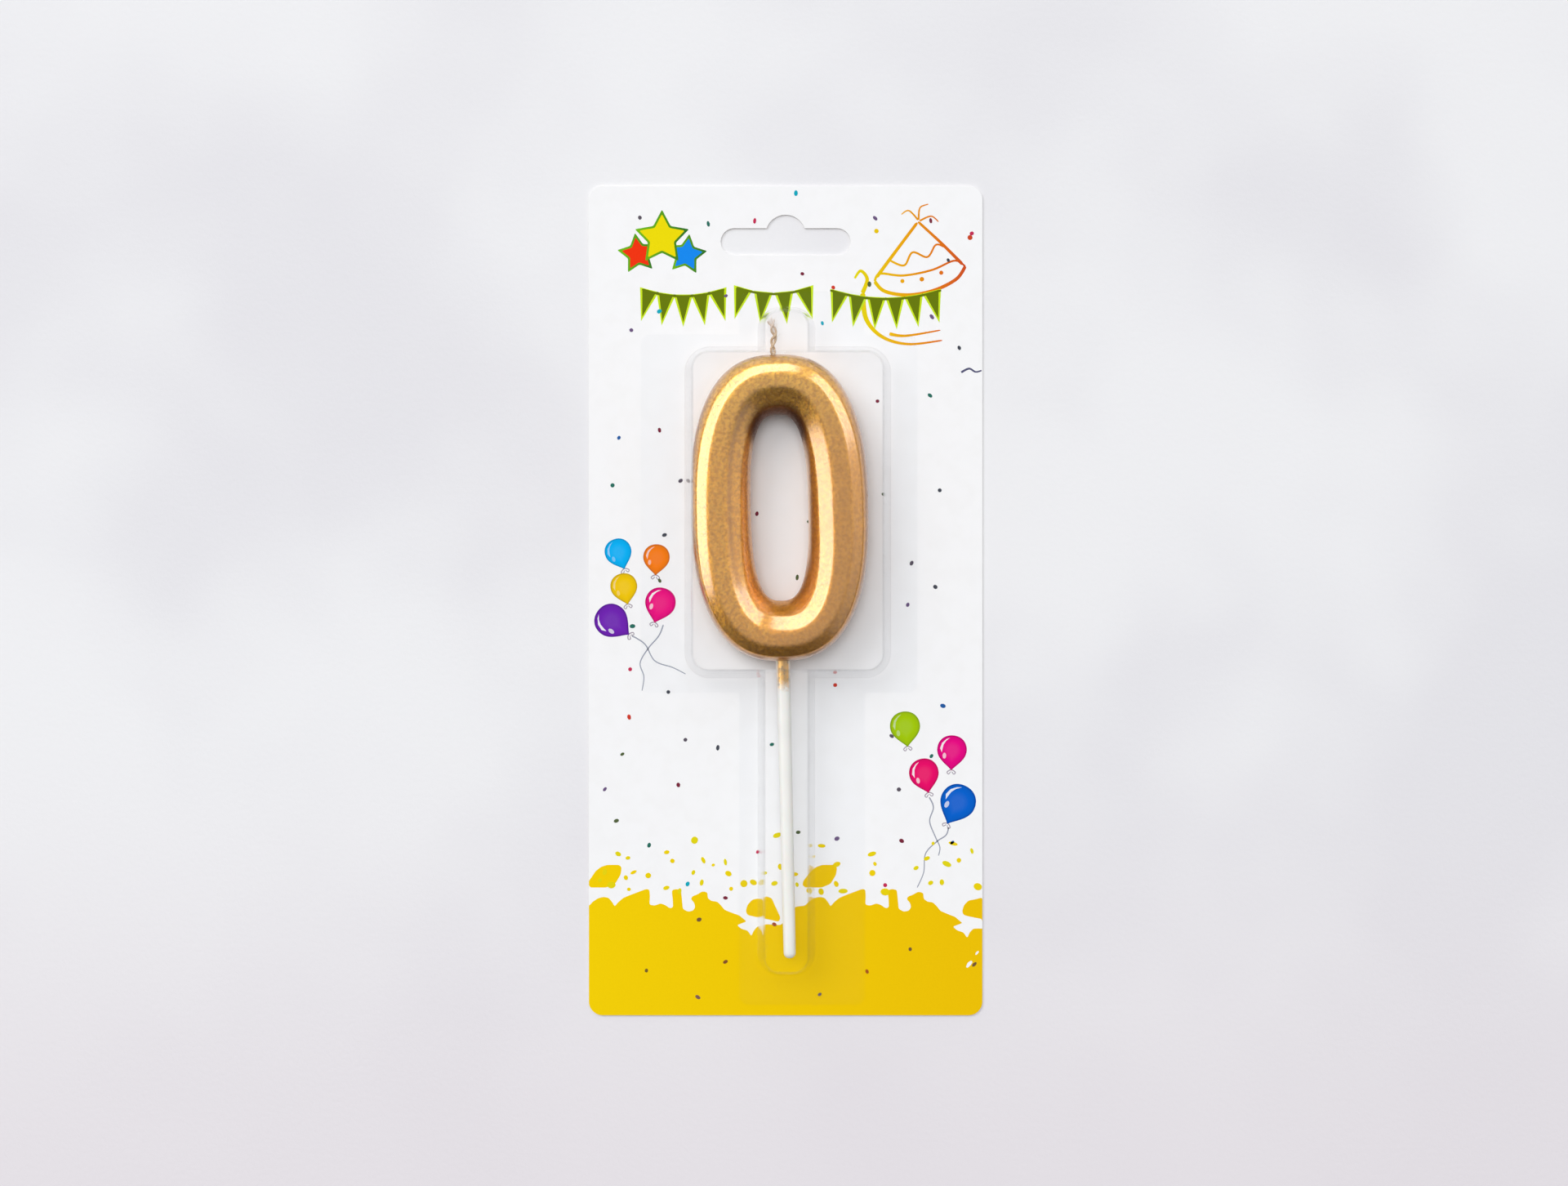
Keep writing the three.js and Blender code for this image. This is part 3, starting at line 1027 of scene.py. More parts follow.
buntingSockets = chosen(bunting, "Pennant Width", "Pennant Height", "Spacing", "Outline")
tree, given = newTree("buntingRow", buntingSockets)
path = made(tree, "GeometryNodeMeshToCurve", {"Mesh": given["Geometry"]}, "Curve")
spots = addNode(
    tree, "GeometryNodeCurveToPoints", {"Curve": path, "Length": given["Spacing"]}, mode="LENGTH"
)
turn = made(
    tree,
    "FunctionNodeAlignRotationToVector",
    {"Vector": out(spots, "Tangent")},
    "Rotation",
    axis="X",
    pivot_axis="Z",
)


def moved(geometry, **inputs):
    return made(tree, "GeometryNodeTransform", {"Geometry": geometry, **inputs})


def pennant(grown, top, toneValue):
    # a three-sided prism with its point down
    width = given["Pennant Width"] + given["Outline"] * (bunting["outlineAside"] * grown)
    rise = given["Pennant Height"] + given["Outline"] * (bunting["outlineBelow"] * grown)
    unitWidth, unitHeight, aboveMiddle = bunting["triangle"]
    inputs = {"Vertices": 3, "Radius": 1.0, "Depth": top - ink["root"]}
    shape = made(tree, "GeometryNodeMeshCylinder", inputs, "Mesh")
    drop = joined(tree, Y=rise * -aboveMiddle + given["Outline"] * float(grown))
    size = joined(tree, X=width / unitWidth, Y=rise / unitHeight, Z=1.0)
    sized = moved(moved(shape, Rotation=(0, 0, -pi / 2)), Translation=drop, Scale=size)
    high = moved(sized, Translation=(0, 0, (top + ink["root"]) / 2))
    return stored(tree, high, "tone", toneValue, "POINT")


both = together(tree, pennant(1, inkTop(2), 0.0), pennant(0, inkTop(3), 1.0))
inputs = {"Points": out(spots, "Points"), "Instance": both, "Rotation": turn}
endTree(tree, made(tree, "GeometryNodeInstanceOnPoints", inputs), pennantInk)

pathPoints, pathEdges = [], []
body, layer = startBody()
for start, end, high, sag in bunting["swags"]:
    first = len(pathPoints)
    swag = [
        (start + (end - start) * i / 24, high - sag * (1 - (i / 12 - 1) ** 2)) for i in range(25)
    ]
    held = swag[2:-2]
    pathPoints += [(x, y, 0) for x, y in held]
    pathEdges += [(first + i, first + i + 1) for i in range(len(held) - 1)]
    cord = stroke(swag[::4], bunting["cordWidth"], steps=6)
    inkShape(body, layer, [cord], 4, linear(*bunting["olive"]))
inkPiece(finishBody("buntingCord", body, inkMaterial))
buntingRow = meshObject("buntingRow", pathPoints, [], pathEdges)
runTree(buntingRow, tree, buntingSockets)
placeMesh(buntingRow, packPlace)
tidyMesh(buntingRow, 1e-8)
inkPiece(buntingRow)

hat = {
    "shades": [(15, (228, 216, 10)), (24, (238, 176, 8)), (33, (226, 116, 16)), (42, (196, 44, 40))],
    "lines": [
        ([(19.2, 68.9), (21.4, 66.8), (26.4, 66.0), (32.0, 67.0), (36.8, 69.4), (38.8, 72.2)], 1.0, 0.9),
        ([(19.2, 68.9), (20.4, 70.6), (25.4, 70.2), (31.6, 71.4), (36.4, 73.4), (38.8, 72.2)], 0.7, 0.5),
        ([(19.6, 69.8), (23.6, 75.2), (28.4, 81.6)], 1.0, 0.8),
        ([(38.2, 72.6), (33.6, 77.2), (28.6, 81.8)], 0.9, 0.7),
        ([(22.6, 73.4), (25.6, 72.4), (27.4, 75.2), (30.6, 74.2), (32.4, 76.8), (34.2, 76.4)], 0.6, 0.5),
        ([(28.6, 82.2), (26.6, 84.2), (25.0, 83.4)], 0.55, 0.3),
        ([(28.7, 82.2), (29.0, 84.8), (30.8, 85.6)], 0.55, 0.3),
        ([(28.9, 82.0), (31.4, 83.0), (33.0, 81.8)], 0.55, 0.3),
        ([(16.6, 66.4), (17.4, 60.8), (20.8, 57.0), (26.4, 55.4), (33.8, 56.2)], 1.5, 0.4),
        ([(22.4, 57.6), (26.0, 57.2), (33.4, 58.4)], 1.0, 0.35),
        ([(16.6, 66.4), (17.6, 69.4), (16.2, 71.2), (14.9, 69.6)], 1.2, 0.6),
    ],
    "dots": [
        (25.2, 69.0, 0.45), (29.4, 69.4, 0.5), (33.6, 70.8, 0.45), (39.8, 78.4, 0.55), (19.6, 79.8, 0.5),
    ],
    "lineScale": 0.8,
    "lineStep": 0.05,
    "mark": [(37.9, 49.3), (39.6, 50.1), (41.0, 49.4), (42.3, 49.7)],
    "markWidths": (0.5, 0.3),
    "markInk": (88, 88, 120),
}


def hatColour(x, y):
    shades = hat["shades"]
    for (lowX, lowTint), (highX, highTint) in zip(shades, shades[1:]):
        if x <= highX:
            share = max(0.0, (x - lowX) / (highX - lowX))
            return blendColour(linear(*lowTint), linear(*highTint), share)
    return linear(*shades[-1][1])


body, layer = startBody()
for number, (points, startWidth, endWidth) in enumerate(hat["lines"]):
    ribbon = stroke(points, startWidth * hat["lineScale"], endWidth * hat["lineScale"])
    inkShape(body, layer, [ribbon], 1 + hat["lineStep"] * number, hatColour)
for x, y, radius in hat["dots"]:
    inkShape(body, layer, [arc(x, y, radius, 0, 2 * pi * 15 / 16, 15)], 1, hatColour)
inkShape(body, layer, [stroke(hat["mark"], *hat["markWidths"])], 1, linear(*hat["markInk"]))
inkPiece(finishBody("hatSketch", body, inkMaterial))
print("header made")

# Numeral: a limb between two superellipses, its section a flat face, two shoulders and round walls
wax = {
    "Width": 38.0,
    "Height": 65.5,
    "Thickness": 12.0,
    "Limb": 12.9,
    "Outer Squareness": 2.5,
    "Eye Squareness": 2.8,
    "Face Start": 0.295,
    "Face End": 0.572,
    "Face Crown": 0.008,
    "Face Narrowing": 0.045,
    "Outer Wall": 0.105,
    "Outer Tilt": 28.0,
    "Outer Wall Tilt": 41.0,
    "Eye Wall": 0.165,
    "Eye Tilt": 28.0,
    "Eye Wall Tilt": 45.0,
    "Wall Widening": 0.03,
    "Lean": 0.044,
    "Eye Wall Lean": 0.062,
    "Crease Round": 0.055,
    "Unevenness": 0.05,
    "Ring Steps": 256,
    "Section Steps": 112,
}
gold = {
    "base": (0.85, 0.345, 0.008),
    "pale": (1.0, 0.49, 0.03),
    "cloud": (0.6, 0.25, 0.04),
    "cloudScale": 180.0,
    "cloudReach": (0.35, 0.7, 0.14),
    "top": (1.0, 0.6, 0.07),
    "topLightReach": (0.004, 0.03, 0.4),
    "shade": (0.66, 0.26, 0.015),
    "shadeSlant": 0.35,
    "shadeReach": (-0.004, 0.015, 0.6),
    "dull": (0.58, 0.22, 0.01),
    "grainScale": 1250.0,
    "grainReach": (0.42, 0.62, 0.62),
    "speck": (0.2, 0.1, 0.03),
    "roughness": (0.3, 0.48),
    "flakeScale": 3100.0,
    "flakeTilt": 0.13,
    "steep": (0.3, 0.12, 0.05),
    "steepShadeReach": (0.3, 0.85, 0.6),
    "underEyeShade": (0.13, 0.05, 0.02),
    "underEyeShape": (0.87, 1.0, 0.0),
    "underEyeMiddle": (0.0, 0.0165, 0.0),
    "underEyeRadius": (0.0042, 0.0067),
    "creaseShade": (0.34, 0.12, 0.008),
    "creaseSize": (0.0106, 0.0243),
    "creaseSquareness": 2.6,
    "creaseReach": (0.0, 0.2, 0.5, 0.0),
    "creaseLeft": (-0.0075, -0.004, 1.0, 0.0),
    "foot": (1.0, 0.72, 0.5),
    "footInner": (0.004, 0.0055),
    "footOuter": (0.0062, 0.0068, 1.0, 0.0),
    "footAlong": (0.008, 0.015, 0.85, 0.0),
}
lacquer = {"Metallic": 0.94, "Coat Roughness": 0.18, "Coat IOR": 2.12, "Specular IOR Level": 0.5}
goldMaterial, tree, shader, point = newMaterial("goldLacquer", lacquer)
inputs = {"Vector": point, "Scale": gold["flakeScale"]}
flake = made(tree, "ShaderNodeTexVoronoi", inputs, "Color", feature="F1")
tilt = axes(flake)
flakeShare = rangeMap(tilt["X"], 0.0, 1.0, 0.0, 1.0, False)
tone = mixColour(flakeShare, opaque(gold["base"]), opaque(gold["pale"]))
clouds = noiseField(point, gold["cloudScale"], 3.0)
tone = tintOver(clouds, gold["cloudReach"], tone, gold["cloud"])
ownPoint = candlePoint(point)
own = axes(ownPoint)
# painted light: the tone grows paler towards the top of the numeral, where it mirrors more light
tone = tintOver(own["Y"], gold["topLightReach"], tone, gold["top"])
# painted shade: the tone grows darker towards the right and the bottom of the numeral
slanted = own["X"] - own["Y"] * gold["shadeSlant"]
tone = tintOver(slanted, gold["shadeReach"], tone, gold["shade"])
grain = noiseField(point, gold["grainScale"], 2.0, 0.6)
tone = tintOver(grain, gold["grainReach"], tone, gold["dull"])
# painted shade: the upright walls are painted darker, standing in for the darker look of the flake lacquer
# seen edge-on
upright = 1.0 - abs(axes(made(tree, "ShaderNodeTexCoord", None, "Normal"))["Z"])
tone = tintOver(upright, gold["steepShadeReach"], tone, gold["steep"])
# painted shade: the wall under the top of the eye is painted dark and its coat is taken away there
flatOwn = calcVector("MULTIPLY", ownPoint, gold["underEyeShape"])
fromShade = calcVector("SUBTRACT", flatOwn, gold["underEyeMiddle"])
fromShade = calcVector("LENGTH", fromShade, output="Value")
shaded = rangeMap(fromShade, *gold["underEyeRadius"], 1.0, 0.0)
tone = mixColour(shaded, tone, opaque(gold["underEyeShade"]))
feed(shader["Coat Weight"], 1.0 - shaded)
# painted shade: the crease between the left face and its inner shoulder is painted a little darker
creaseX, creaseY = gold["creaseSize"]
power = gold["creaseSquareness"]
offCrease = abs(abs(own["X"] / creaseX) ** power + abs(own["Y"] / creaseY) ** power - 1.0)
creaseShade = rangeMap(offCrease, *gold["creaseReach"]) * rangeMap(own["X"], *gold["creaseLeft"])
tone = mixColour(creaseShade, tone, opaque(gold["creaseShade"]))
# painted reflection: the foot of the eye's right wall is painted paler, for the light of the board that it
# mirrors
foot = rangeMap(own["X"], *gold["footOuter"]) * rangeMap(own["X"], *gold["footInner"])
foot = foot * rangeMap(abs(own["Y"]), *gold["footAlong"])
feed(shader["Base Color"], mixColour(foot, tone, opaque(gold["foot"])))
feed(shader["Roughness"], rangeMap(tilt["Y"], 0, 1, *gold["roughness"]))
leaning = scaleVector(calcVector("SUBTRACT", flake, (0.5, 0.5, 0.5)), gold["flakeTilt"])
leaning = calcVector("ADD", made(tree, "ShaderNodeNewGeometry", None, "Normal"), leaning)
feed(shader["Normal"], calcVector("NORMALIZE", leaning))

tree, given = newTree("numeralRing", wax)
grid = {"Vertices X": given["Ring Steps"] + 1, "Vertices Y": given["Section Steps"] + 1}
grid = made(tree, "GeometryNodeMeshGrid", {"Size X": 1.0, "Size Y": 1.0, **grid}, "Mesh")
flatPlace = axes(made(tree, "GeometryNodeInputPosition"))
ringAngle, sectionAngle = flatPlace["X"] * (2 * pi), flatPlace["Y"] * (2 * pi)


def squared(wave, angle, squareness):
    value = calc(wave, angle)
    return calc("SIGN", value) * abs(value) ** (2.0 / squareness)


def ellipsePoint(halfWidth, halfHeight, squareness):
    x = halfWidth * squared("COSINE", ringAngle, squareness)
    y = halfHeight * squared("SINE", ringAngle, squareness)
    return joined(tree, X=x, Y=y)


halfWidth, halfHeight = given["Width"] * 0.5, given["Height"] * 0.5
limb = given["Limb"]
outer = ellipsePoint(halfWidth, halfHeight, given["Outer Squareness"])
eye = ellipsePoint(halfWidth - limb, halfHeight - limb, given["Eye Squareness"])

# share runs from 0 at the outer edge to 1 at the eye, and level from 0 at mid-height to 1 on the face
share = 0.5 - calc("COSINE", sectionAngle) * 0.5
span = scaleVector(calcVector("SUBTRACT", eye, outer), share)
halfThick = given["Thickness"] * 0.5
limbRatio = limb / halfThick


def steepness(tilt):
    return calc("TANGENT", calc("RADIANS", tilt)) * limbRatio


def wallLevel(fromEdge, width, steep, top):
    # a slope and a quarter ellipse added together, so that the wall ends upright at the edge
    inward = 1.0 - fromEdge / width
    sloping = steep * width
    quarter = calc("SQRT", calc("MAXIMUM", 1.0 - inward * inward, 0.0))
    return top - sloping * inward - (top - sloping) * (1.0 - quarter)


def choose(condition, no, yes):
    return rangeMap(condition, 0.0, 1.0, no, yes, False)


# the face and the walls lean towards the top of the numeral, and the face narrows at both ends
upward = calc("SINE", ringAngle)
ends = upward * upward
lean = given["Lean"] * upward
widening = given["Wall Widening"] * ends
faceStart = given["Face Start"] + lean
faceEnd = given["Face End"] + lean - given["Face Narrowing"] * ends
outerWidth = given["Outer Wall"] + lean + widening
eyeWidth = given["Eye Wall"] - given["Eye Wall Lean"] * upward + widening

outerSteep, eyeSteep = steepness(given["Outer Tilt"]), steepness(given["Eye Tilt"])
crown, soft = given["Face Crown"], given["Crease Round"]
fromEye = 1.0 - share
outerDrop = calc("SMOOTH_MAX", faceStart - share, 0.0, soft)
eyeDrop = calc("SMOOTH_MAX", share - faceEnd, 0.0, soft)
aside = (share - (faceStart + faceEnd) * 0.5) / ((faceEnd - faceStart) * 0.5)
level = 1.0 - calc("MINIMUM", aside * aside, 1.0) * crown
level = level - outerDrop * outerSteep - eyeDrop * eyeSteep
outerTop = 1.0 - crown - (faceStart - outerWidth) * outerSteep
eyeTop = 1.0 - crown - (1.0 - eyeWidth - faceEnd) * eyeSteep
outerWall = wallLevel(share, outerWidth, steepness(given["Outer Wall Tilt"]), outerTop)
eyeWall = wallLevel(fromEye, eyeWidth, steepness(given["Eye Wall Tilt"]), eyeTop)
level = choose(calc("LESS_THAN", share, outerWidth), level, outerWall)
level = choose(calc("LESS_THAN", fromEye, eyeWidth), level, eyeWall)
side = calc("SIGN", calc("SINE", sectionAngle))
rise = joined(tree, Z=halfThick * (side * level))
place = calcVector("ADD", calcVector("ADD", outer, span), rise)
ring = made(tree, "GeometryNodeSetPosition", {"Geometry": grid, "Position": place})
ring = made(tree, "GeometryNodeMergeByDistance", {"Geometry": ring, "Distance": 0.002})
wave = noiseField(made(tree, "GeometryNodeInputPosition"), 0.11) - 0.5
normal = made(tree, "GeometryNodeInputNormal", None, "Normal")
push = scaleVector(normal, wave * given["Unevenness"])
ring = made(tree, "GeometryNodeSetPosition", {"Geometry": ring, "Offset": push})
endTree(tree, ring, goldMaterial)

numeralWax = meshObject("numeralWax", [(0, 0, 0)], [])
runTree(numeralWax, tree, wax)
tidyMesh(numeralWax)


def rodSolid(name, radius, low, high, x, sides=48):
    angles = [2 * pi * i / sides for i in range(sides)]
    rings = [[(x + radius * cos(a), y, radius * sin(a)) for a in angles] for y in (low, high)]
    rod = ringsObject(name, rings)
    tidyMesh(rod, 1e-5)
    return rod, "DIFFERENCE"


wickLook = {
    "offset": -0.6,
    "cast": 8.0,
    "hole": 0.86,
    "path": [(0, 0), (-0.1, 1.5), (0.02, 2.8), (0.5, 4.0), (0.12, 5.3), (-0.42, 7.3)],
    "Yarn Radius": 0.27,
    "Twist Radius": 0.4,
    "Pitch": 4.4,
    "Yarns": 2,
    "Fray": 0.7,
    "Fibres": 90,
    "Fibre Radius": 0.02,
    "Seed": 4,
    "pathPoints": 120,
    "yarnSides": 12,
    # shares of the path's length
    "frayFrom": 0.8,
    "thinFrom": 0.84,
    "fibresFrom": 0.56,
    "thinTo": 0.45,
    "fibreCrowding": 0.45,
    "fibreBend": {"Start": (0, 0, 0), "Middle": (0.1, 0.5, 0.05), "End": (0.42, 0.95, 0.12)},
    "fibreAside": ((-0.45, -0.1, -0.45), (0.45, 0.1, 0.45)),
    "fibreTurn": ((-0.6, -3.1, -0.7), (0.6, 3.1, 0.7)),
    "fibreScale": ((0.6, 0.6, 0.6), (1.5, 1.5, 1.5)),
    "pale": (222, 200, 170),
    "tan": (184, 148, 112),
    "tanReach": (0.35, 0.7, 1.0),
    "cut": (238, 224, 216),
    "cutFrom": (0.0365, 0.0398, 0.7),
}
pickLook = {
    "radius": 1.5,
    "tipRadius": 1.3,
    "free": 63.5,
    "cast": 9.0,
    "tipRound": 1.2,
    "collarHeight": 0.9,
    "collarLength": 1.4,
    "collars": 2,
    "fit": 0.02,
    "seam": 0.035,
    "gold": (2.2, 7.4),
    "goldFade": (-0.35, 1.25),
    "mistScale": 1600.0,
    "mistReach": (0.3, 1.3, 0.0, 0.8),
    "goldMetallic": 0.85,
    "paleSides": (0.0009, 0.0014, 1.0, 0.25),
    "streakAndShade": (0.3, 0.14, 0.02),
    "shadeBandLeft": (-0.0003, 0.0002, 0.0, 0.55),
    "shadeBandRight": (0.0005, 0.001, 1.0, 0.35),
    "spotScale": 1100.0,
    "spotReach": (0.48, 0.66, 0.75),
    "white": (250, 249, 243),
    "cream": (245, 244, 238),
    "sides": 56,
    "tipSteps": 10,
    "freeSteps": 40,
}
topY, bottomY = wax["Height"] / 2, -wax["Height"] / 2
holeSpare = {"end": 0.2, "outside": 5}
wickHoleEnd = topY - wickLook["cast"] - holeSpare["end"]
pickHoleEnd = bottomY + pickLook["cast"] + holeSpare["end"]
pickHoleRadius = pickLook["radius"] + pickLook["fit"]
above, below = topY + holeSpare["outside"], bottomY - holeSpare["outside"]
carve(
    numeralWax,
    [
        rodSolid("wickHole", wickLook["hole"], wickHoleEnd, above, wickLook["offset"]),
        rodSolid("pickHole", pickHoleRadius, below, pickHoleEnd, 0),
    ],
)
tidyMesh(numeralWax, smoothAngle=60)
placeMesh(numeralWax, candlePlace)
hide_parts("numeral")
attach(numeralWax, "candle")
print("numeral made", len(numeralWax.data.polygons))

# Wick: two yarns twisted along the wick's path, with loose fibres at the cut end
yarnFinish = {"Roughness": 0.88, "Sheen Weight": 0.35, "Sheen Roughness": 0.5}
cottonMaterial, tree, shader, point = newMaterial("cottonYarn", yarnFinish)
streakAndShade = noiseField(point, 2600.0, 3.0, 0.6)
tanYarn = linear(*wickLook["tan"])
cotton = tintOver(streakAndShade, wickLook["tanReach"], printed(wickLook["pale"]), tanYarn)
high = axes(candlePoint(point))["Y"]
cotton = tintOver(high, wickLook["cutFrom"], cotton, linear(*wickLook["cut"]))
feed(shader["Base Color"], cotton)
feed(shader["Normal"], bumped(noiseField(point, 6000.0), 0.00004, 0.8))

wickSockets = chosen(
    wickLook,
    "Yarn Radius", "Twist Radius", "Pitch", "Yarns", "Fray", "Fibres", "Fibre Radius", "Seed",
)
tree, given = newTree("twistedWick", wickSockets)
path = made(tree, "GeometryNodeMeshToCurve", {"Mesh": given["Geometry"]}, "Curve")
path = made(tree, "GeometryNodeResampleCurve", {"Curve": path, "Count": wickLook["pathPoints"]})
inputs = {"Geometry": path, "Amount": given["Yarns"]}
yarns = addNode(tree, "GeometryNodeDuplicateElements", inputs, domain="SPLINE")
along = addNode(tree, "GeometryNodeSplineParameter")
factor = out(along, "Factor")
phase = out(yarns, "Duplicate Index") / given["Yarns"]
angle = (out(along, "Length") / given["Pitch"] + phase) * (2 * pi)
frayed = rangeMap(factor, wickLook["frayFrom"], 1.0)
reach = given["Twist Radius"] * (1.0 + given["Fray"] * frayed)
normal = made(tree, "GeometryNodeInputNormal", None, "Normal")
binormal = calcVector("CROSS_PRODUCT", made(tree, "GeometryNodeInputTangent"), normal)
offset = calcVector(
    "ADD",
    scaleVector(normal, reach * calc("COSINE", angle)),
    scaleVector(binormal, reach * calc("SINE", angle)),
)
inputs = {"Geometry": out(yarns, "Geometry"), "Offset": offset}
wound = made(tree, "GeometryNodeSetPosition", inputs)
thinning = rangeMap(factor, wickLook["thinFrom"], 1.0, 1.0, wickLook["thinTo"])
wound = made(tree, "GeometryNodeSetCurveRadius", {"Curve": wound, "Radius": thinning})


def sweptTube(curve, resolution, radius):
    inputs = {"Resolution": resolution, "Radius": radius}
    profile = made(tree, "GeometryNodeCurvePrimitiveCircle", inputs, "Curve")
    inputs = {"Curve": curve, "Profile Curve": profile, "Fill Caps": True}
    return addNode(tree, "GeometryNodeCurveToMesh", inputs)


yarnMesh = sweptTube(wound, wickLook["yarnSides"], given["Yarn Radius"])
if "Scale" in yarnMesh.inputs:
    feed(yarnMesh.inputs["Scale"], thinning)

spread = randomValue(tree, given["Seed"] + 1) ** wickLook["fibreCrowding"]
start = wickLook["fibresFrom"]
inputs = {"Curves": path, "Factor": spread * (1 - start) + start}
sampled = made(tree, "GeometryNodeSampleCurve", inputs, "Position", mode="FACTOR")
aside = randomValue(tree, given["Seed"] + 2, *wickLook["fibreAside"])
inputs = {"Count": given["Fibres"], "Offset": (0, 0, 0.001)}
seats = made(tree, "GeometryNodeMeshLine", inputs, "Mesh")
inputs = {"Geometry": seats, "Position": calcVector("ADD", sampled, aside)}
seats = made(tree, "GeometryNodeSetPosition", inputs)
bend = {"Resolution": 6, **wickLook["fibreBend"]}
fibre = made(tree, "GeometryNodeCurveQuadraticBezier", bend)
inputs = {
    "Points": seats,
    "Instance": out(sweptTube(fibre, 4, given["Fibre Radius"])),
    "Rotation": randomValue(tree, given["Seed"] + 3, *wickLook["fibreTurn"]),
    "Scale": randomValue(tree, given["Seed"] + 4, *wickLook["fibreScale"]),
}
fibres = made(tree, "GeometryNodeInstanceOnPoints", inputs)
endTree(tree, together(tree, out(yarnMesh), fibres), cottonMaterial)

castPart = [(0, -wickLook["cast"] * share) for share in (1.0, 0.75, 0.5, 0.25)]
wickPath = smoothPath([*castPart, *wickLook["path"]], 8)
wickYarns = meshObject(
    "wickYarns",
    [(wickLook["offset"] + x, topY + height, 0) for x, height in wickPath],
    [],
    [(i, i + 1) for i in range(len(wickPath) - 1)],
)
runTree(wickYarns, tree, wickSockets)
tidyMesh(wickYarns, 1e-5, 50)
placeMesh(wickYarns, candlePlace)
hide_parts("wick")
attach(wickYarns, "candle")
print("wick made", len(wickYarns.data.polygons))

# Pick: a moulded rod with collars in the wax and a fine parting line down both sides
plasticFinish = {"IOR": 1.49, "Subsurface Weight": 0.12, "Subsurface Scale": 0.001}
pickMaterial, tree, shader, point = newMaterial("pickPlastic", plasticFinish)
ownPoint = candlePoint(point)
own = axes(ownPoint)
highGold, lowGold = ((bottomY - reach) * mm for reach in pickLook["gold"])
reachDown = rangeMap(own["Y"], lowGold, highGold, *pickLook["goldFade"], False)
mist = noiseField(ownPoint, pickLook["mistScale"], 3.0, 0.65)
# the overspray thins out towards the rod's two sides
dust = rangeMap(reachDown + mist, *pickLook["mistReach"])
dust = dust * rangeMap(abs(own["X"]), *pickLook["paleSides"])
# painted highlight and shade: the overspray is pale gold left of the rod's middle and dark brown right of it
streakAndShade = rangeMap(own["X"], *pickLook["shadeBandLeft"]) * rangeMap(own["X"], *pickLook["shadeBandRight"])
cloudy, cream = noiseField(ownPoint, 140.0, 3.0), linear(*pickLook["cream"])
plastic = tintOver(cloudy, (0.3, 0.7, 1.0), printed(pickLook["white"]), cream)
overspray = mixColour(streakAndShade, opaque(gold["pale"]), opaque(pickLook["streakAndShade"]))
spots = noiseField(ownPoint, pickLook["spotScale"], 2.0, 0.7)
overspray = tintOver(spots, pickLook["spotReach"], overspray, gold["speck"])
feed(shader["Base Color"], mixColour(dust, plastic, overspray))
feed(shader["Metallic"], dust * pickLook["goldMetallic"])
feed(shader["Roughness"], rangeMap(dust, 0, 1, 0.3, 0.42))
feed(shader["Normal"], bumped(noiseField(ownPoint, 700.0), 0.00001, 0.4))

tipY = bottomY - pickLook["free"]
taper = pickLook["radius"] - pickLook["tipRadius"]
rodProfile = []
for step in range(pickLook["tipSteps"] + 1):
    angle = (pi / 2) * step / pickLook["tipSteps"]
    radius = pickLook["tipRadius"] - pickLook["tipRound"] * (1 - sin(angle))
    rodProfile.append((radius, tipY + pickLook["tipRound"] * (1 - cos(angle))))
roundTop = rodProfile[-1][1]
for step in range(1, pickLook["freeSteps"] + 1):
    share = step / pickLook["freeSteps"]
    rodProfile.append((pickLook["tipRadius"] + taper * share, roundTop + (bottomY - roundTop) * share))
pitch = pickLook["cast"] / pickLook["collars"]
neck, collar = pickLook["radius"], pickLook["radius"] + pickLook["collarHeight"]
for number in range(1, pickLook["collars"] + 1):
    end = bottomY + pitch * number
    start = end - pickLook["collarLength"]
    rodProfile += [(neck, start), (collar, start), (collar, end), (neck, end)]
rings = []
for radius, y in rodProfile:
    ring = []
    for i in range(pickLook["sides"]):
        angle = 2 * pi * i / pickLook["sides"]
        seam = pickLook["seam"] if i in (0, pickLook["sides"] // 2) and radius >= neck else 0
        ring.append(((radius + seam) * cos(angle), y, (radius + seam) * sin(angle)))
    rings.append(ring)
pickRod = ringsObject("pickRod", rings)
tidyMesh(pickRod, 1e-5, 50)
placeMesh(pickRod, candlePlace)
pickRod.data.materials.append(pickMaterial)
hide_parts("pick")
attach(pickRod, "candle")
print("pick made")

# Cover: one formed sheet with a pocket over the numeral and a channel over the pick and the wick
cover = {
    "sheet": 0.35,
    "film": 0.06,
    "draft": 8.5,
    "foot": 0.7,
    "edge": 1.2,
    "axis": 6.24,
    "pocket": {
        "sides": (-20.55, 21.45, -15.45, 53.55),
        "height": 13.39,
        "corner": 4.3,
        "flange": (8.8, 5.1, 2.5, 2.0),
    },
    "channel": {
        "sides": (-4.757, 5.083, -79.42, 62.04),
        "height": 9.69,
        "corner": 3.6,
        "flange": (3.4, 10.1, 5.8, 2.8),
    },
    "flangeCorner": 2.0,
    "cornerSteps": 14,
    "edgeSteps": 8,
}
draft = radians(cover["draft"])
sheet = cover["sheet"]


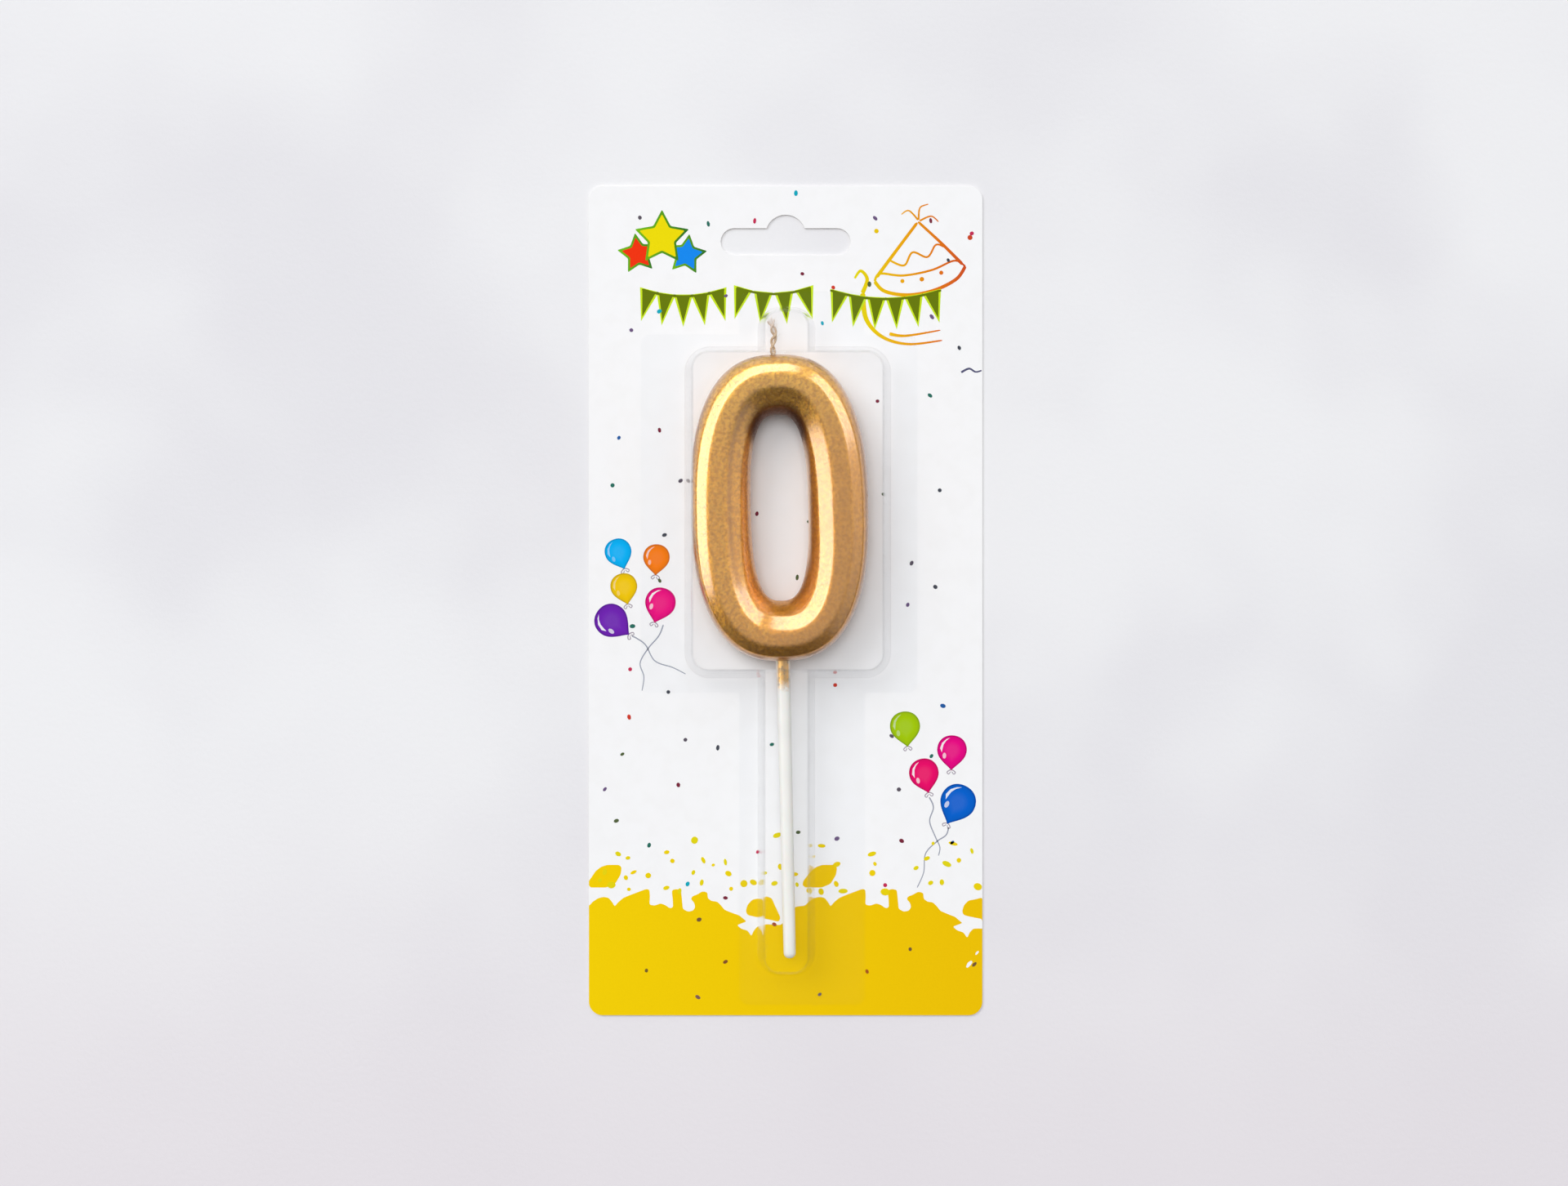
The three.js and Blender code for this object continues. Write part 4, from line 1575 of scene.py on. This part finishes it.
def wallProfile(height, skin):
    # the wall's section from its foot up, as offsets from the chamber's sides and heights
    def outerFace(z):
        return (cover["axis"] - z) * tan(draft) + sheet / cos(draft)

    footZ = sheet + cover["foot"]
    footX = outerFace(footZ) + cover["foot"] / cos(draft)
    edgeZ = height - cover["edge"]
    edgeX = outerFace(edgeZ) - cover["edge"] / cos(draft)
    footRadius, edgeRadius = cover["foot"] + skin, cover["edge"] - skin
    steps = cover["edgeSteps"]
    profile = []
    for step in range(steps + 1):
        angle = pi / 2 + (draft - pi / 2) * step / steps
        profile.append((footX - footRadius * cos(angle), footZ - footRadius * sin(angle)))
    for step in range(steps + 1):
        angle = draft + (pi / 2 - draft) * step / steps
        profile.append((edgeX + edgeRadius * cos(angle), edgeZ + edgeRadius * sin(angle)))
    return profile


def grownSides(sides, left, right, bottom, top):
    return (sides[0] - left, sides[1] + right, sides[2] - bottom, sides[3] + top)


def chamberBody(name, chamber, skin):
    profile = wallProfile(chamber["height"], skin)
    profile.insert(0, (profile[0][0], -sheet if skin else 0.0))
    rings = []
    for offset, z in profile:
        outline = roundedRectangle(
            *grownSides(chamber["sides"], offset, offset, offset, offset),
            chamber["corner"] + offset,
            cover["cornerSteps"],
        )
        rings.append([(x, y, z) for x, y in outline])
    return ringsObject(name, rings)


def flangeBody(name, chamber):
    foot = wallProfile(chamber["height"], 0)[0][0]
    sides = grownSides(chamber["sides"], foot, foot, foot, foot)
    outline = roundedRectangle(
        *grownSides(sides, *chamber["flange"]), cover["flangeCorner"], cover["cornerSteps"]
    )
    return ringsObject(name, [[(x, y, z) for x, y in outline] for z in (0.0, sheet)])


coverSheet = flangeBody("coverSheet", cover["pocket"])
carve(
    coverSheet,
    [
        (flangeBody("channelFlange", cover["channel"]), "UNION"),
        (chamberBody("pocketOutside", cover["pocket"], 0), "UNION"),
        (chamberBody("channelOutside", cover["channel"], 0), "UNION"),
        (chamberBody("pocketInside", cover["pocket"], sheet), "DIFFERENCE"),
        (chamberBody("channelInside", cover["channel"], sheet), "DIFFERENCE"),
    ],
)

clearLook = {
    "tint": (0.994, 0.995, 0.996),
    "edgeTint": (0.85, 0.852, 0.86),
    "roughness": 0.06,
    "waveScale": 55.0,
    "rippleScale": 420.0,
    "rippleShare": 0.05,
    "headOn": 0.004,
    "haze": (0.0, 0.05),
    "shadow": (0.984, 0.985, 0.987),
    "hazeColour": (0.93, 0.935, 0.95),
}
clearFinish = {"Base Color": opaque(clearLook["hazeColour"]), "Roughness": 0.3}
clearMaterial, tree, shader, point = newMaterial("clearSheet", clearFinish)
ripples = noiseField(point, clearLook["rippleScale"], 1.0) * clearLook["rippleShare"]
waves = bumped(noiseField(point, clearLook["waveScale"], 1.0) + ripples, 0.0004, 0.25)
edgeOn = made(tree, "ShaderNodeLayerWeight", {"Blend": 0.5}, "Facing")
passed = mixColour(edgeOn ** 2.0, opaque(clearLook["tint"]), opaque(clearLook["edgeTint"]))
passing = made(tree, "ShaderNodeBsdfTransparent", {"Color": passed})
inputs = {"Color": (1, 1, 1, 1), "Roughness": clearLook["roughness"], "Normal": waves}
mirror = made(tree, "ShaderNodeBsdfAnisotropic", inputs)
shine = clearLook["headOn"] + edgeOn ** 5.0 * (1 - clearLook["headOn"])
haze = rangeMap(edgeOn ** 3.0, 0.0, 1.0, *clearLook["haze"], False)
veiled = mixShader(haze, passing, out(tree.nodes["Principled BSDF"]))
lit = made(tree, "ShaderNodeBsdfTransparent", {"Color": opaque(clearLook["shadow"])})
shadow = made(tree, "ShaderNodeLightPath", None, "Is Shadow Ray")
glossed = mixShader(shadow, mixShader(shine, veiled, mirror), lit)
feed(tree.nodes["Material Output"].inputs["Surface"], glossed)

tidyMesh(coverSheet, 1e-5, 30)
lift = (board["thickness"] + cover["film"]) * mm
placeMesh(coverSheet, Matrix.Translation((0, 0, lift)) @ packPlace)
coverSheet.data.materials.clear()
coverSheet.data.materials.append(clearMaterial)
weighted = coverSheet.modifiers.new("evenFaces", "WEIGHTED_NORMAL")
weighted.keep_sharp = True
weighted.weight = 100
settle(coverSheet)
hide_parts("blister")
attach(coverSheet, "clear_cover")
print("cover made", len(coverSheet.data.polygons))
